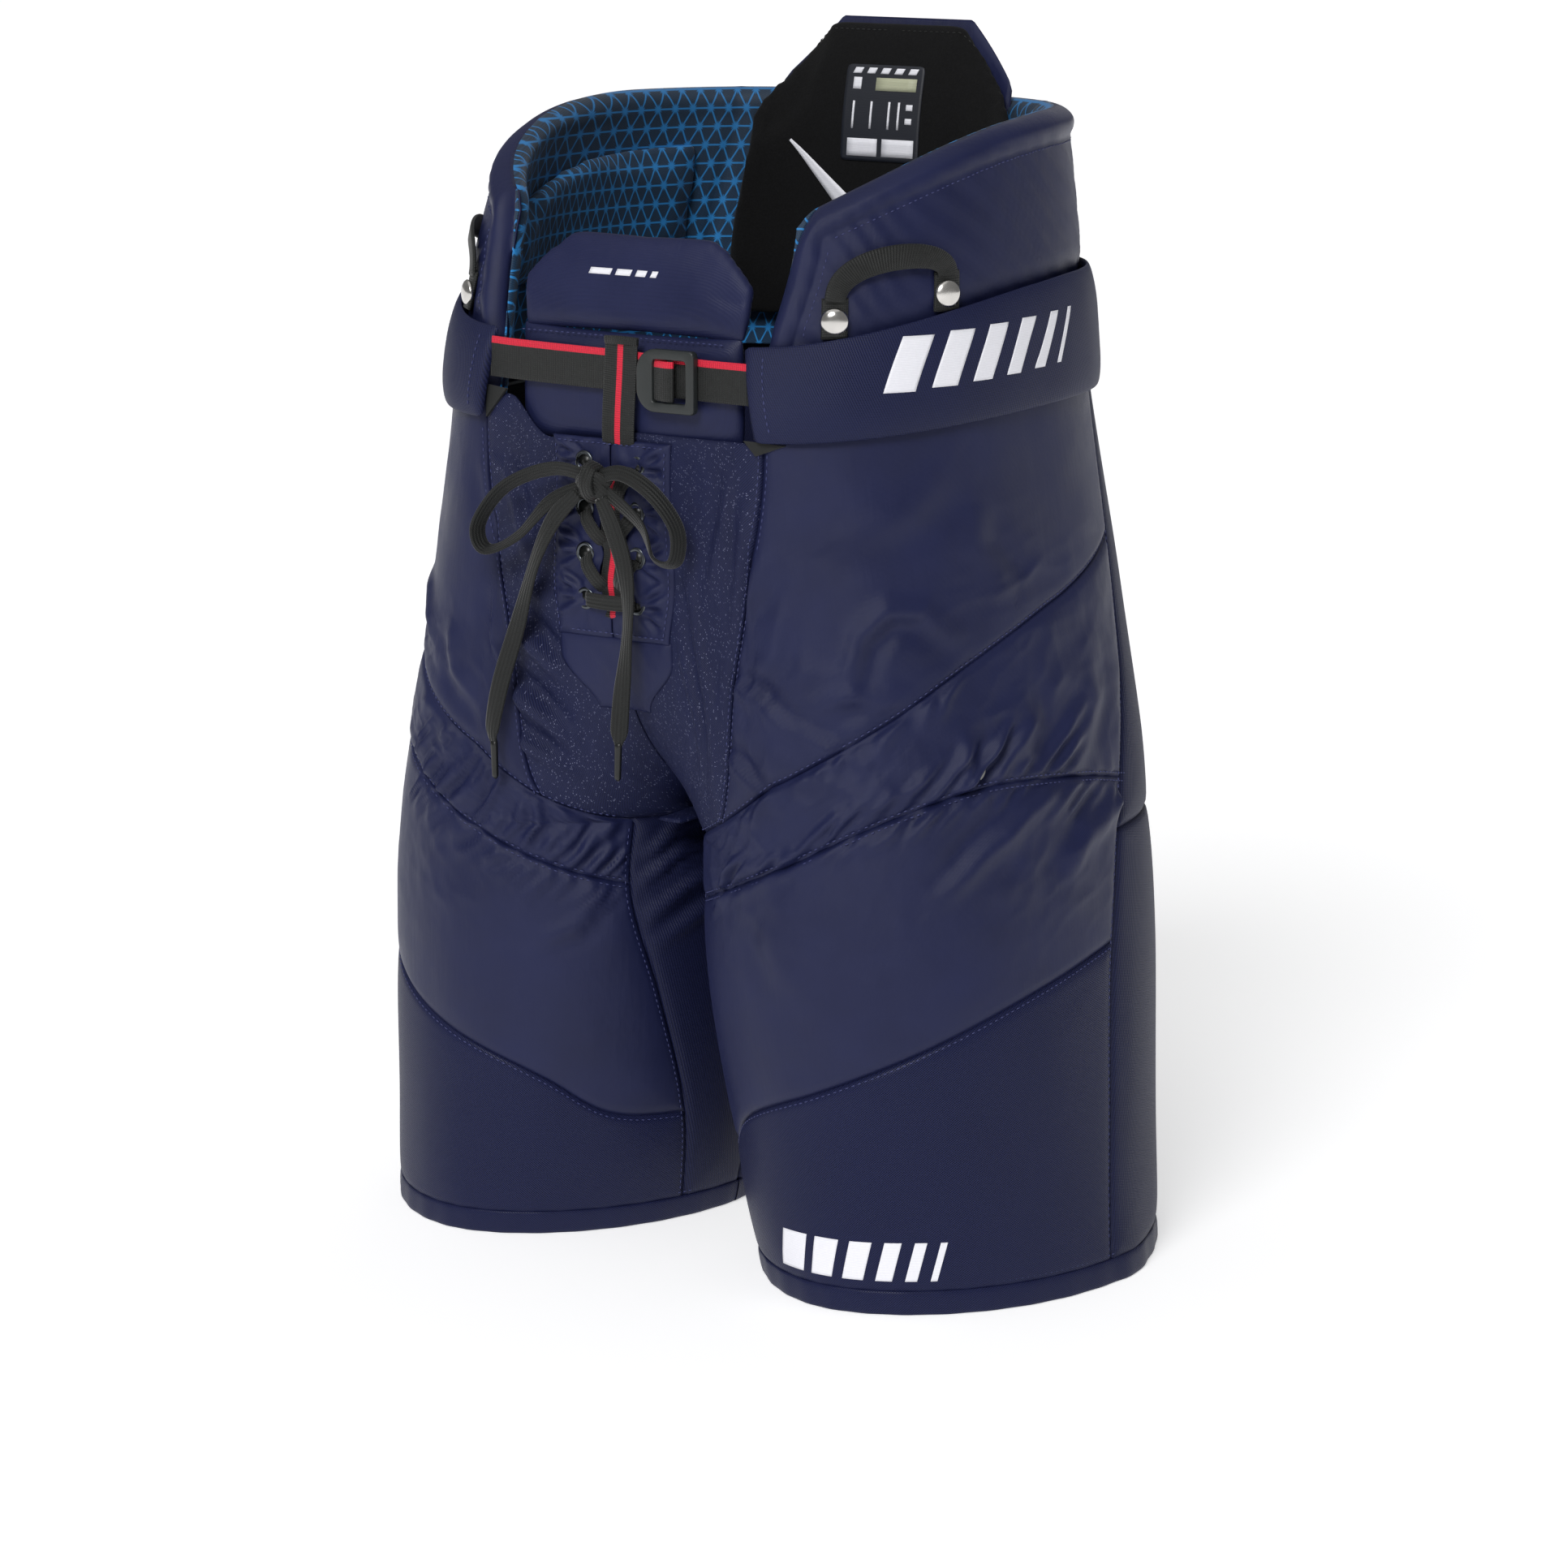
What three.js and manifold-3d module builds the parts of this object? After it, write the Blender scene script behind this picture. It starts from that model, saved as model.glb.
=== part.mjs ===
// Ice hockey pants, standing on their hems, as an assembly of separate pieces.
// Millimetres. +Z is up, -Y is the wearer's front and +X the wearer's left.
// The origin lies on the floor, midway between the two hems.
import * as THREE from 'three';
import * as BufferGeometryUtils from 'three/addons/utils/BufferGeometryUtils.js';
import Module from 'manifold-3d';

const wasm = await Module();
wasm.setup();

// ---- Driving dimensions --------------------------------------------------------------------
const legHeight = 250;        // hem to the top section of a leg
const riseHeight = 200;       // from there to the waist belt
const collarHeight = 110;     // from the waist belt to the highest body section
const crotchDrop = 28;        // crotch below the top section of a leg
const hipDepth = 132;         // half of the front-to-back size at the hips
const waistHalf = 88;         // outer half width of one waist half
const hemOuter = 96;          // outer half width of a hem
const hemInner = 92;          // inner half width of a hem
const hipPivotRise = 90;      // hip axis above the top section of a leg
const hipRadius = hipDepth + 18;  // round the hip axis, legs outside it and pelvis inside
const hipClearance = 2.7;     // running gap of the hip joint
const waistLevel = legHeight + riseHeight;

const shellThick = 2.5;       // nylon with its backing
const hemThick = 4;           // folded and stitched hem
const plateThick = 2.5;       // moulded guard plates
const foamThick = 10;         // foam behind the plates
const linerThick = 2;         // inner lining
const collarThick = 14;       // padded kidney wings
const kidneyPadThick = 9;     // raised pads inside the wings
const layerGap = 1.2;         // between a skin and what it covers
const packGap = 0.8;          // between plate, foam and lining
const seamGap = 0.4;          // between two panels that meet at a seam

const hemBandHeight = 32;
const beltThick = 4;          // padded belt wings
const beltLow = waistLevel - 25;      // lower edge of the belt at its front end
const beltFrontHeight = 45;
const beltSideHeight = 61;
const beltFrontAngle = -82;
const beltRearAngle = 96;
const rimFront = waistLevel + 80;     // top edge of a wing at its front corner
const rimBack = waistLevel + 123;     // and at the back

const flyCentre = -4;         // the fly lies slightly to the wearer's right
const flyGap = 12;            // open width between the plackets
const placketWidth = 29;
const placketHeight = 95;
const placketTop = waistLevel - 33;
const placketThick = 2.2;
const eyeletPitch = 22.5;
const eyeletSpacing = 31;     // between the two columns
const eyeletBore = 3;
const eyeletBarrel = 3.8;
const eyeletFlange = 5.8;
const laceWidth = 9;
const laceThick = 1.8;

const webbingWidth = 20;
const webbingThick = 1.5;
const waistWebbingMiddle = waistLevel + 5;
const buckleWidth = 34;
const buckleHeight = 31;
const buckleThick = 5;
const buckleBar = 5;
const buckleMiddle = 32;      // buckle's place across the waist

const bellyThick = 10;
const bellyBottom = waistLevel - 26;
const bellyHinge = waistLevel + 21;   // height of the crease between the two belly pads
const bellyTop = waistLevel + 70;
const spineHinge = waistLevel;
const spineTop = waistLevel + 164;
const spineThick = 12;
const rivetRadius = 7;

// ---- Body surface ---------------------------------------------------------------------------
// A half section is a rounded outline round the middle of one leg: angle 0 is the outer side,
// -90 the front, 90 the back and 180 the inner side, next to the other half.
const crotchLevel = legHeight - crotchDrop;
const groinLevel = legHeight + 0.4 * riseHeight;
const hipLevel = legHeight + hipPivotRise;

const sections = [
  { z: 0, centre: 116, outer: hemOuter, inner: hemInner, depth: hipDepth - 10, shift: 0, power: 1.85 },
  { z: 0.24 * legHeight, centre: 109, outer: 97, inner: 97, depth: hipDepth - 8, shift: 0, power: 1.95 },
  { z: 0.64 * legHeight, centre: 98, outer: 99, inner: 96, depth: hipDepth - 2, shift: 0, power: 2.2 },
  { z: legHeight, centre: 92, outer: 94, inner: 91, depth: hipDepth, shift: 2, power: 2.2 },
  { z: groinLevel, centre: 82, outer: 86, inner: 81, depth: hipDepth, shift: 4, power: 2.2 },
  { z: legHeight + 0.75 * riseHeight, centre: 72, outer: 83, inner: 71, depth: hipDepth - 1, shift: 3, power: 2.2 },
  { z: waistLevel, centre: 62, outer: waistHalf, inner: 61, depth: hipDepth - 3, shift: 1, power: 2.2 },
  { z: waistLevel + 0.45 * collarHeight, centre: 52, outer: 95, inner: 51, depth: hipDepth - 9, shift: 5, power: 2.2 },
  { z: waistLevel + collarHeight, centre: 40, outer: 98, inner: 39, depth: hipDepth - 15, shift: 13, power: 2.2 },
];

const clamp = (value, low, high) => Math.min(high, Math.max(low, value));
const mix = (a, b, t) => a + (b - a) * t;
const smooth = (t) => t * t * (3 - 2 * t);

function slopeAt(key, i) {
  const before = sections[Math.max(i - 1, 0)];
  const after = sections[Math.min(i + 1, sections.length - 1)];
  return (after[key] - before[key]) / (after.z - before.z);
}

function sectionValue(key, z) {
  const height = clamp(z, 0, sections.at(-1).z);
  const i = clamp(sections.findIndex((s) => s.z >= height) - 1, 0, sections.length - 2);
  const [low, high] = [sections[i], sections[i + 1]];
  const span = high.z - low.z;
  const t = (height - low.z) / span;
  const bend = t * (1 - t) * span;
  return mix(low[key], high[key], smooth(t))
    + bend * ((1 - t) * slopeAt(key, i) - t * slopeAt(key, i + 1));
}

function sectionPoint(z, angle, offset) {
  const radians = THREE.MathUtils.degToRad(angle);
  const [c, s] = [Math.cos(radians), Math.sin(radians)];
  const power = 2 / sectionValue('power', z);
  const half = sectionValue(c >= 0 ? 'outer' : 'inner', z) + offset;
  const depth = sectionValue('depth', z) + offset;
  return new THREE.Vector3(
    sectionValue('centre', z) + half * Math.sign(c) * Math.abs(c) ** power,
    sectionValue('shift', z) + depth * Math.sign(s) * Math.abs(s) ** power,
    z,
  );
}

// Above the crotch the inner side opens: past the front and the back the wall runs straight to
// the middle of the body, and the rise curves between the two shapes.
function bodyPoint(z, angle, offset) {
  const tube = sectionPoint(z, angle, offset);
  const past = (Math.abs(angle) - 90) / 90;
  if (past <= 0 || z <= crotchLevel) return tube;
  const corner = sectionPoint(z, 90 * Math.sign(angle), offset);
  const straight = new THREE.Vector3(corner.x * (1 - past), corner.y, z);
  const drop = clamp((groinLevel - z) / (groinLevel - crotchLevel), 0, 1);
  return straight.lerp(tube, 1 - Math.sqrt(1 - drop ** 2));
}

// Height at which the wall meets the cylinder of the hip joint.
function hipArc(angle, offset, radius) {
  let z = crotchLevel;
  for (let i = 0; i < 8; i += 1) {
    const reach = bodyPoint(z, angle, offset).y;
    z = hipLevel - Math.sqrt(radius ** 2 - reach ** 2);
  }
  return z;
}

const legTop = (angle, offset) => hipArc(angle, offset, hipRadius);
const pelvisLow = (angle, offset) => Math.max(hipArc(angle, offset, hipRadius - hipClearance),
  Math.abs(angle) > 90 ? crotchLevel + seamGap : 0);

const beltEdgeLow = (angle) => beltLow + 9 * smooth(clamp((angle + 82) / 100, 0, 1));
const beltEdgeHigh = (angle) => beltEdgeLow(angle)
  + mix(beltFrontHeight, beltSideHeight, smooth(clamp((angle + 82) / 100, 0, 1)));
const rimHeight = (angle) => mix(rimFront, rimBack,
  Math.sin(Math.PI / 2 * clamp((angle + 67) / 87, 0, 1)));
const shellTop = (angle) => beltEdgeLow(angle) + 9;

// ---- Mesh helpers -----------------------------------------------------------------------------
const assembly = new THREE.Group();

function material(colour, roughness, metalness = 0) {
  return new THREE.MeshStandardMaterial({ color: colour, roughness, metalness });
}
const nylon = material(0x262a48, 0.6);
const knit = material(0x1c2040, 0.8);
const padding = material(0x1c1c20, 0.9);
const lining = material(0x14304c, 0.85);
const guardPlastic = material(0xd8d8d4, 0.5);
const foam = material(0xc8ccd0, 0.9);
const webbing = material(0x202220, 0.8);
const bucklePlastic = material(0x3c4040, 0.5);
const steel = material(0xb8bcc0, 0.3, 1);
const laceCloth = material(0x22241e, 0.85);

function addMesh(name, geometry, finish, position = [0, 0, 0]) {
  const mesh = new THREE.Mesh(geometry, finish);
  mesh.name = name;
  mesh.position.set(...position);
  assembly.add(mesh);
  return mesh;
}

function fromTriangles(points, faces) {
  const geometry = new THREE.BufferGeometry();
  geometry.setAttribute('position', new THREE.Float32BufferAttribute(points.flat(), 3));
  geometry.setIndex(faces.flat());
  return geometry;
}

function facingOut(points, faces) {
  const [a, b, c] = [new THREE.Vector3(), new THREE.Vector3(), new THREE.Vector3()];
  const volume = faces.reduce((sum, [i, j, k]) => sum
    + a.fromArray(points[i]).dot(b.fromArray(points[j]).cross(c.fromArray(points[k]))), 0);
  return volume > 0 ? faces : faces.map(([i, j, k]) => [i, k, j]);
}

// A padded or sewn panel: a grid of columns and rows with an outer and an inner skin.
// place(column, row, offset) gives each point; a closed panel joins its last column to its first.
function panel(place, columns, rows, inner, outer, closed = false) {
  const points = [];
  const [across, up] = [columns.length, rows.length];
  for (const offset of [outer, inner]) {
    for (const column of columns) {
      for (const row of rows) points.push(place(column, row, offset).toArray());
    }
  }
  const index = (skin, i, j) => (skin * across + (i % across)) * up + j;
  const faces = [];
  const quad = (p, q, r, s) => faces.push([p, q, r], [p, r, s]);
  const last = closed ? across : across - 1;
  for (let i = 0; i < last; i += 1) {
    for (let j = 0; j < up - 1; j += 1) {
      quad(index(0, i, j), index(0, i + 1, j), index(0, i + 1, j + 1), index(0, i, j + 1));
      quad(index(1, i, j), index(1, i, j + 1), index(1, i + 1, j + 1), index(1, i + 1, j));
    }
    quad(index(1, i, 0), index(1, i + 1, 0), index(0, i + 1, 0), index(0, i, 0));
    quad(index(0, i, up - 1), index(0, i + 1, up - 1), index(1, i + 1, up - 1), index(1, i, up - 1));
  }
  if (!closed) {
    for (let j = 0; j < up - 1; j += 1) {
      quad(index(0, 0, j), index(0, 0, j + 1), index(1, 0, j + 1), index(1, 0, j));
      quad(index(1, last, j), index(1, last, j + 1), index(0, last, j + 1), index(0, last, j));
    }
  }
  return fromTriangles(points, facingOut(points, faces));
}

const fractions = (count) => Array.from({ length: count + 1 }, (_, i) => i / count);

// Angles from one to another, with every lattice angle between them: the lattice is finer
// beside the crotch, where the wall turns under the body.
const latticeStep = 15;
const crotchAngles = [140, 145];
const lattice = [-180, ...crotchAngles, ...crotchAngles.map((a) => -a)];
for (let a = latticeStep - 180; a <= 180; a += latticeStep) lattice.push(a);
lattice.sort((a, b) => a - b);
const angles = (from, to) => [from, ...lattice.filter((a) => a > from && a < to), to];

// A panel on one half of the body, between two edges given as heights over the angle.
function bodyPanel(side, from, to, low, high, rowCount, inner, outer, closed = false) {
  const columns = angles(from, to);
  if (closed) columns.pop();
  const place = (angle, t, offset) => {
    const at = typeof angle === 'function' ? angle(t) : angle;
    const point = bodyPoint(mix(low(at, offset), high(at, offset), t), at, offset);
    point.x = side * Math.max(point.x, seamGap);
    return point;
  };
  return panel(place, columns, fractions(rowCount), inner, outer, closed);
}

// A panel across the middle of the body, mirrored about it; reach is its outermost angle.
function middlePanel(reach, low, high, rowCount, inner, outer) {
  const sign = Math.sign(reach);
  const half = angles(Math.abs(reach), 180);
  const columns = [...half.map((a) => [1, a]), ...half.slice(0, -1).reverse().map((a) => [-1, a])];
  const place = ([side, size], t, offset) => {
    const angle = sign * size;
    const point = bodyPoint(mix(low(angle, offset), high(angle, offset), t), angle, offset);
    point.x *= size === 180 ? 0 : side;
    return point;
  };
  return panel(place, columns, fractions(rowCount), inner, outer);
}

const constant = (height) => () => height;

function solid(geometry) {
  const plain = geometry.clone();
  plain.deleteAttribute('normal');
  plain.deleteAttribute('uv');
  const merged = BufferGeometryUtils.mergeVertices(plain, 1e-3);
  return new wasm.Manifold(new wasm.Mesh({
    numProp: 3,
    vertProperties: new Float32Array(merged.attributes.position.array),
    triVerts: new Uint32Array(merged.index.array),
  }));
}

function fromSolid(body) {
  const mesh = body.getMesh();
  const geometry = new THREE.BufferGeometry();
  geometry.setAttribute('position', new THREE.BufferAttribute(mesh.vertProperties, 3));
  geometry.setIndex(new THREE.BufferAttribute(mesh.triVerts, 1));
  return geometry;
}

// A flat outline in X and Z, given a thickness along Y from its front face backwards.
function sheet(shape, front, thick) {
  const geometry = new THREE.ExtrudeGeometry(shape, { depth: thick, bevelEnabled: false, curveSegments: 6 });
  geometry.rotateX(Math.PI / 2);
  geometry.translate(0, front + thick, 0);
  return geometry;
}

function outline(corners) {
  return new THREE.Shape(corners.map(([x, z]) => new THREE.Vector2(x, z)));
}

const box = (x0, x1, z0, z1) => outline([[x0, z0], [x1, z0], [x1, z1], [x0, z1]]);

// ---- Legs -------------------------------------------------------------------------------------
const plateInner = -shellThick - layerGap - plateThick;
const foamInner = plateInner - packGap - foamThick;
const linerInner = foamInner - packGap - linerThick;
const guardLow = hemBandHeight + 10;

function buildLeg(side, name) {
  addMesh(`leg_shell_${name}`, bodyPanel(side, -180, 180, constant(hemBandHeight + seamGap),
    legTop, 6, -shellThick, 0, true), nylon);
  addMesh(`hem_band_${name}`, bodyPanel(side, -180, 180, constant(0), constant(hemBandHeight),
    1, -hemThick, 0, true), nylon);
  addMesh(`thigh_guard_plate_${name}`, bodyPanel(side, -104, 50, constant(guardLow), legTop, 6,
    plateInner, -shellThick - layerGap), guardPlastic);
  addMesh(`thigh_guard_foam_${name}`, bodyPanel(side, -107, 60, constant(guardLow - 4), legTop, 6,
    foamInner, plateInner - packGap), foam);
  addMesh(`leg_liner_${name}`, bodyPanel(side, -110, 65, constant(guardLow - 6), legTop, 6,
    linerInner, foamInner - packGap), lining);
}

// ---- Pelvis -----------------------------------------------------------------------------------
const sideRear = 30;          // angle of the seam between side and seat
const groinInner = 135;       // angle of the seam beside the fly

function buildPelvisSide(side, name) {
  addMesh(`hip_shell_${name}`, bodyPanel(side, -90, sideRear, pelvisLow, shellTop, 5,
    -shellThick, 0), nylon);
  addMesh(`groin_panel_${name}`, bodyPanel(side, 1.4 - groinInner, -90.3, pelvisLow,
    constant(bellyBottom - seamGap), 4, -shellThick, 0), knit);
  addMesh(`seat_panel_${name}`, bodyPanel(side, sideRear + 0.3, 180, pelvisLow, shellTop, 5,
    -shellThick, 0), nylon);
  addMesh(`hip_guard_plate_${name}`, bodyPanel(side, -66, 24, pelvisLow,
    constant(beltLow + 2), 4, plateInner, -shellThick - layerGap), guardPlastic);
  addMesh(`hip_guard_foam_${name}`, bodyPanel(side, -70, 27, pelvisLow,
    constant(beltLow + 2), 4, foamInner, plateInner - packGap), foam);
}

function buildCrotch() {
  addMesh('fly_patch', middlePanel(-groinInner, pelvisLow, constant(placketTop - placketHeight - 3),
    5, -shellThick, 0), nylon);
  const radius = hipRadius - hipClearance;
  const top = crotchLevel - seamGap;
  const reach = Math.sqrt(radius ** 2 - (hipLevel - top) ** 2);
  const start = Math.atan2(top - hipLevel, reach);
  const profile = new THREE.Shape();
  profile.moveTo(reach, top);
  profile.absarc(0, hipLevel, radius, start, -Math.PI - start, true);
  profile.closePath();
  const gussetHalf = 9;
  const geometry = new THREE.ExtrudeGeometry(profile, {
    depth: 2 * gussetHalf, bevelEnabled: false, curveSegments: 10,
  });
  geometry.rotateX(Math.PI / 2);
  geometry.rotateZ(Math.PI / 2);
  geometry.translate(-gussetHalf, 0, 0);
  addMesh('crotch_gusset', geometry, knit);
}

function buildTail() {
  addMesh('tail_pad', middlePanel(112, constant(groinLevel + 8), constant(beltLow + 8), 4,
    -shellThick - layerGap - foamThick, -shellThick - layerGap), foam);
}

// ---- Waist ------------------------------------------------------------------------------------
const wingRear = 118;         // the two wings end behind the spine pad
const kidneyInner = -collarThick - layerGap - kidneyPadThick;

function buildWing(side, name) {
  const frontEdge = (t) => mix(-81, -68, smooth(t));
  const columns = [frontEdge, ...angles(-62, wingRear)];
  const place = (angle, t, offset) => {
    const at = typeof angle === 'function' ? angle(t) : angle;
    const point = bodyPoint(mix(shellTop(at) + seamGap, rimHeight(at), t), at, offset);
    point.x *= side;
    return point;
  };
  addMesh(`kidney_wing_${name}`, panel(place, columns, fractions(4), -collarThick, 0), nylon);
  addMesh(`kidney_pad_${name}`, bodyPanel(side, -56, 44, constant(waistLevel + 30), (a) => rimHeight(a) - 24, 3,
    kidneyInner, -collarThick - layerGap), lining);
  addMesh(`belt_wing_${name}`, bodyPanel(side, beltFrontAngle, beltRearAngle, beltEdgeLow,
    beltEdgeHigh, 2, layerGap, layerGap + beltThick), knit);
}

// The spine pad's top edge slopes down on both sides of its flat middle.
const spineShoulder = 40;
const spineCorner = 89;
const spineCornerDrop = 43;
function spineEdge(angle) {
  const across = bodyPoint(spineTop - spineCornerDrop / 2, angle, 0).x;
  const slope = clamp((Math.abs(across) - spineShoulder) / (spineCorner - spineShoulder), 0, 1.3);
  return spineTop - spineCornerDrop * slope;
}

function buildSpine() {
  const plateOuter = -collarThick - layerGap;
  const padOuter = plateOuter - 2 - layerGap;
  addMesh('spine_plate', middlePanel(72, constant(spineHinge + 10), (a) => spineEdge(a) - 14, 3,
    plateOuter - 2, plateOuter), guardPlastic);
  addMesh('spine_pad', middlePanel(58, constant(spineHinge), spineEdge, 4,
    padOuter - spineThick, padOuter), padding);
}

// ---- Belly pads ---------------------------------------------------------------------------------
const frontFace = (z) => bodyPoint(z, -90, 0).y;
const bellyFront = frontFace(waistLevel) + 2;
const bellyLean = 11;         // how far the upper pad leans back at its top

function buildBelly() {
  const crease = 0.7;
  const lower = outline([[-58, bellyBottom], [58, bellyBottom], [64, bellyHinge - crease / 2],
    [-64, bellyHinge - crease / 2]]);
  addMesh('belly_pad_lower', sheet(lower, bellyFront, bellyThick), nylon);
  const shoulder = bellyHinge + 24;
  const upper = outline([[-64, bellyHinge + crease / 2], [64, bellyHinge + crease / 2], [67, shoulder],
    [46, bellyTop - 5], [36, bellyTop], [-36, bellyTop], [-46, bellyTop - 5], [-67, shoulder]]);
  const geometry = sheet(upper, bellyFront, bellyThick);
  const points = geometry.attributes.position;
  for (let i = 0; i < points.count; i += 1) {
    const lift = (points.getZ(i) - bellyHinge) / (bellyTop - bellyHinge);
    points.setY(i, points.getY(i) + bellyLean * lift);
  }
  addMesh('belly_pad_upper', geometry, nylon);
}

// ---- Webbing and buckle -------------------------------------------------------------------------
const webbingFront = frontFace(waistLevel) - 0.4 - webbingThick;
const webbingTop = waistWebbingMiddle + webbingWidth / 2;
const webbingReach = bodyPoint(webbingTop, beltFrontAngle, layerGap).x - seamGap;
const buckleFront = webbingFront - seamGap - buckleThick;

function buildWebbing() {
  const [low, high] = [webbingTop - webbingWidth, webbingTop];
  addMesh('waist_webbing', sheet(box(-webbingReach, buckleMiddle - seamGap / 2, low, high),
    webbingFront, webbingThick), webbing);
  addMesh('buckle_webbing', sheet(box(buckleMiddle + seamGap / 2, webbingReach, low, high),
    webbingFront, webbingThick), webbing);
}

function buildBuckle() {
  const middle = waistWebbingMiddle - 4;
  const block = (width, height, centre, thick) => {
    const geometry = new THREE.BoxGeometry(width, thick, height);
    geometry.translate(centre, buckleFront + buckleThick / 2, middle);
    return solid(geometry);
  };
  const slot = (buckleWidth - 3 * buckleBar) / 2;
  let body = block(buckleWidth, buckleHeight, buckleMiddle, buckleThick);
  for (const side of [-1, 1]) {
    const centre = buckleMiddle + side * (buckleBar + slot) / 2;
    body = body.subtract(block(slot, buckleHeight - 2 * buckleBar, centre, 2 * buckleThick));
  }
  addMesh('buckle', fromSolid(body), bucklePlastic);
}

// The centre strap hangs in front of the waist webbing and tucks in behind the plackets.
function buildCentreStrap() {
  const front = webbingFront - seamGap - webbingThick;
  const behind = placketFront + placketThick + 1.5;
  const route = [[front, waistWebbingMiddle + 13], [front, placketTop + 13],
    [behind, placketTop + 2.5], [behind, placketTop - placketHeight + 16]];
  const place = (across, i, offset) => {
    const [y, z] = route[i];
    return new THREE.Vector3(across, y + webbingThick - offset, z);
  };
  addMesh('centre_webbing', panel(place, [-10, 10], [0, 1, 2, 3], 0, webbingThick), webbing);
}

// ---- Fly and lace ---------------------------------------------------------------------------------
const placketBack = Math.min(...fractions(6).map((t) => frontFace(placketTop - t * placketHeight)));
const placketFront = placketBack - seamGap - placketThick;
const eyeletRows = [0, 1, 2, 3].map((i) => placketTop - 9 - i * eyeletPitch);
const eyeletFront = placketFront - 0.3 - 0.8;

function buildPlacket(side, name) {
  const [inner, outer] = [flyCentre + side * flyGap / 2, flyCentre + side * (flyGap / 2 + placketWidth)];
  const low = placketTop - placketHeight;
  const shape = box(Math.min(inner, outer), Math.max(inner, outer), low, placketTop);
  const across = flyCentre + side * eyeletSpacing / 2;
  let body = solid(sheet(shape, placketFront, placketThick));
  for (const z of eyeletRows) {
    const hole = new THREE.CylinderGeometry(eyeletBarrel + 0.3, eyeletBarrel + 0.3, 4 * placketThick, 10);
    hole.translate(across, placketFront + placketThick / 2, z);
    body = body.subtract(solid(hole));
  }
  addMesh(`placket_${name}`, fromSolid(body), nylon);

  eyeletRows.forEach((z, i) => {
    const length = placketThick + 1.6;
    const profile = [[eyeletBore, 0], [eyeletFlange, 0], [eyeletFlange, 0.8], [eyeletBarrel, 0.8],
      [eyeletBarrel, length], [eyeletBore, length], [eyeletBore, 0]];
    const geometry = new THREE.LatheGeometry(profile.map(([r, y]) => new THREE.Vector2(r, y)), 10);
    addMesh(`eyelet_${name}_${i + 1}`, geometry, steel, [across, eyeletFront, z]);
  });
}

function buildTongue() {
  const back = placketFront + placketThick + 3.5;
  addMesh('fly_tongue', sheet(box(flyCentre - 26, flyCentre + 26, placketTop - placketHeight + 2,
    placketTop - 1), back, 2), nylon);
}

const laceFront = eyeletFront - seamGap - laceThick;

// A flat lace along a route: its width lies in the plane of the front.
function laceRibbon(points, width, steps) {
  const path = new THREE.CatmullRomCurve3(points.map((p) => new THREE.Vector3(...p)));
  const section = new THREE.Shape();
  section.absellipse(0, 0, laceThick / 2, width / 2, 0, 2 * Math.PI, false);
  return new THREE.ExtrudeGeometry(section, { steps, extrudePath: path, curveSegments: 2 });
}

function straightLace(from, to) {
  const geometry = new THREE.BoxGeometry(Math.hypot(to[0] - from[0], to[1] - from[1]), laceThick, 7);
  geometry.rotateY(-Math.atan2(to[1] - from[1], to[0] - from[0]));
  geometry.translate((from[0] + to[0]) / 2, laceFront + laceThick / 2, (from[1] + to[1]) / 2);
  return geometry;
}

function buildLace() {
  const [left, right] = [flyCentre - eyeletSpacing / 2, flyCentre + eyeletSpacing / 2];
  const rows = [...eyeletRows].reverse();
  let lacing = solid(straightLace([left, rows[0]], [right, rows[0]]));
  for (let i = 0; i < 3; i += 1) {
    lacing = lacing.add(solid(straightLace([left, rows[i]], [right, rows[i + 1]])));
    lacing = lacing.add(solid(straightLace([right, rows[i]], [left, rows[i + 1]])));
  }
  addMesh('lacing', fromSolid(lacing), laceCloth);

  const front = laceFront - 5.5;
  const knot = new THREE.SphereGeometry(1, 10, 6);
  knot.scale(9, 4.6, 8);
  knot.translate(-7, front, placketTop - 17);
  // Points are across, out from the knot's front, and up from the top of the placket.
  const route = (points) => points.map(([x, y, z]) => [x, front + y, placketTop + z]);
  const bowRight = route([[-7, 0, -15], [-30, -3, -12], [-58, -5, -23], [-75, -5, -43], [-70, -5, -55],
    [-52, -3, -47], [-34, 0, -29], [-9, 0, -18]]);
  const bowLeft = route([[-7, 0, -15], [12, -3, -11], [32, -5, -19], [46, -5, -35], [44, -4, -51],
    [31, -3, -51], [20, 0, -35], [-5, 0, -18]]);
  const bow = solid(knot).add(solid(laceRibbon(bowRight, laceWidth, 18)))
    .add(solid(laceRibbon(bowLeft, laceWidth, 16)));
  addMesh('lace_bow', fromSolid(bow), laceCloth);

  const rightEnd = route([[-15.5, -1.5, -22.5], [-30, -2.5, -37], [-43, -1, -59], [-55, 0, -92],
    [-66, 0, -122], [-72, 0.5, -145], [-71, 0.5, -155]]);
  const leftEnd = route([[-2.5, -1.8, -23.8], [5, -2, -37], [11, -1, -55], [13, 0, -75], [11.5, 0, -99],
    [8.5, 0, -123], [6.5, 0, -147]]);
  addMesh('lace_end_right', laceRibbon(rightEnd, laceWidth, 12), laceCloth);
  addMesh('lace_end_left', laceRibbon(leftEnd, laceWidth, 10), laceCloth);
  const tip = new THREE.CylinderGeometry(2.2, 1.8, 16, 8);
  tip.rotateX(Math.PI / 2);
  addMesh('aglet_right', tip, bucklePlastic, [-70.5, front + 0.5, placketTop - 163.5]);
  addMesh('aglet_left', tip.clone(), bucklePlastic, [6, front, placketTop - 155.5]);
}

// ---- Suspender loops ------------------------------------------------------------------------------
// Each loop is an arch of webbing over the edge of the belt, held by a rivet at each foot.
const loopFeet = [-57, -26];
const loopRise = 22;
const loopWidth = 12;
const loopStandoff = 1.6;

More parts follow.
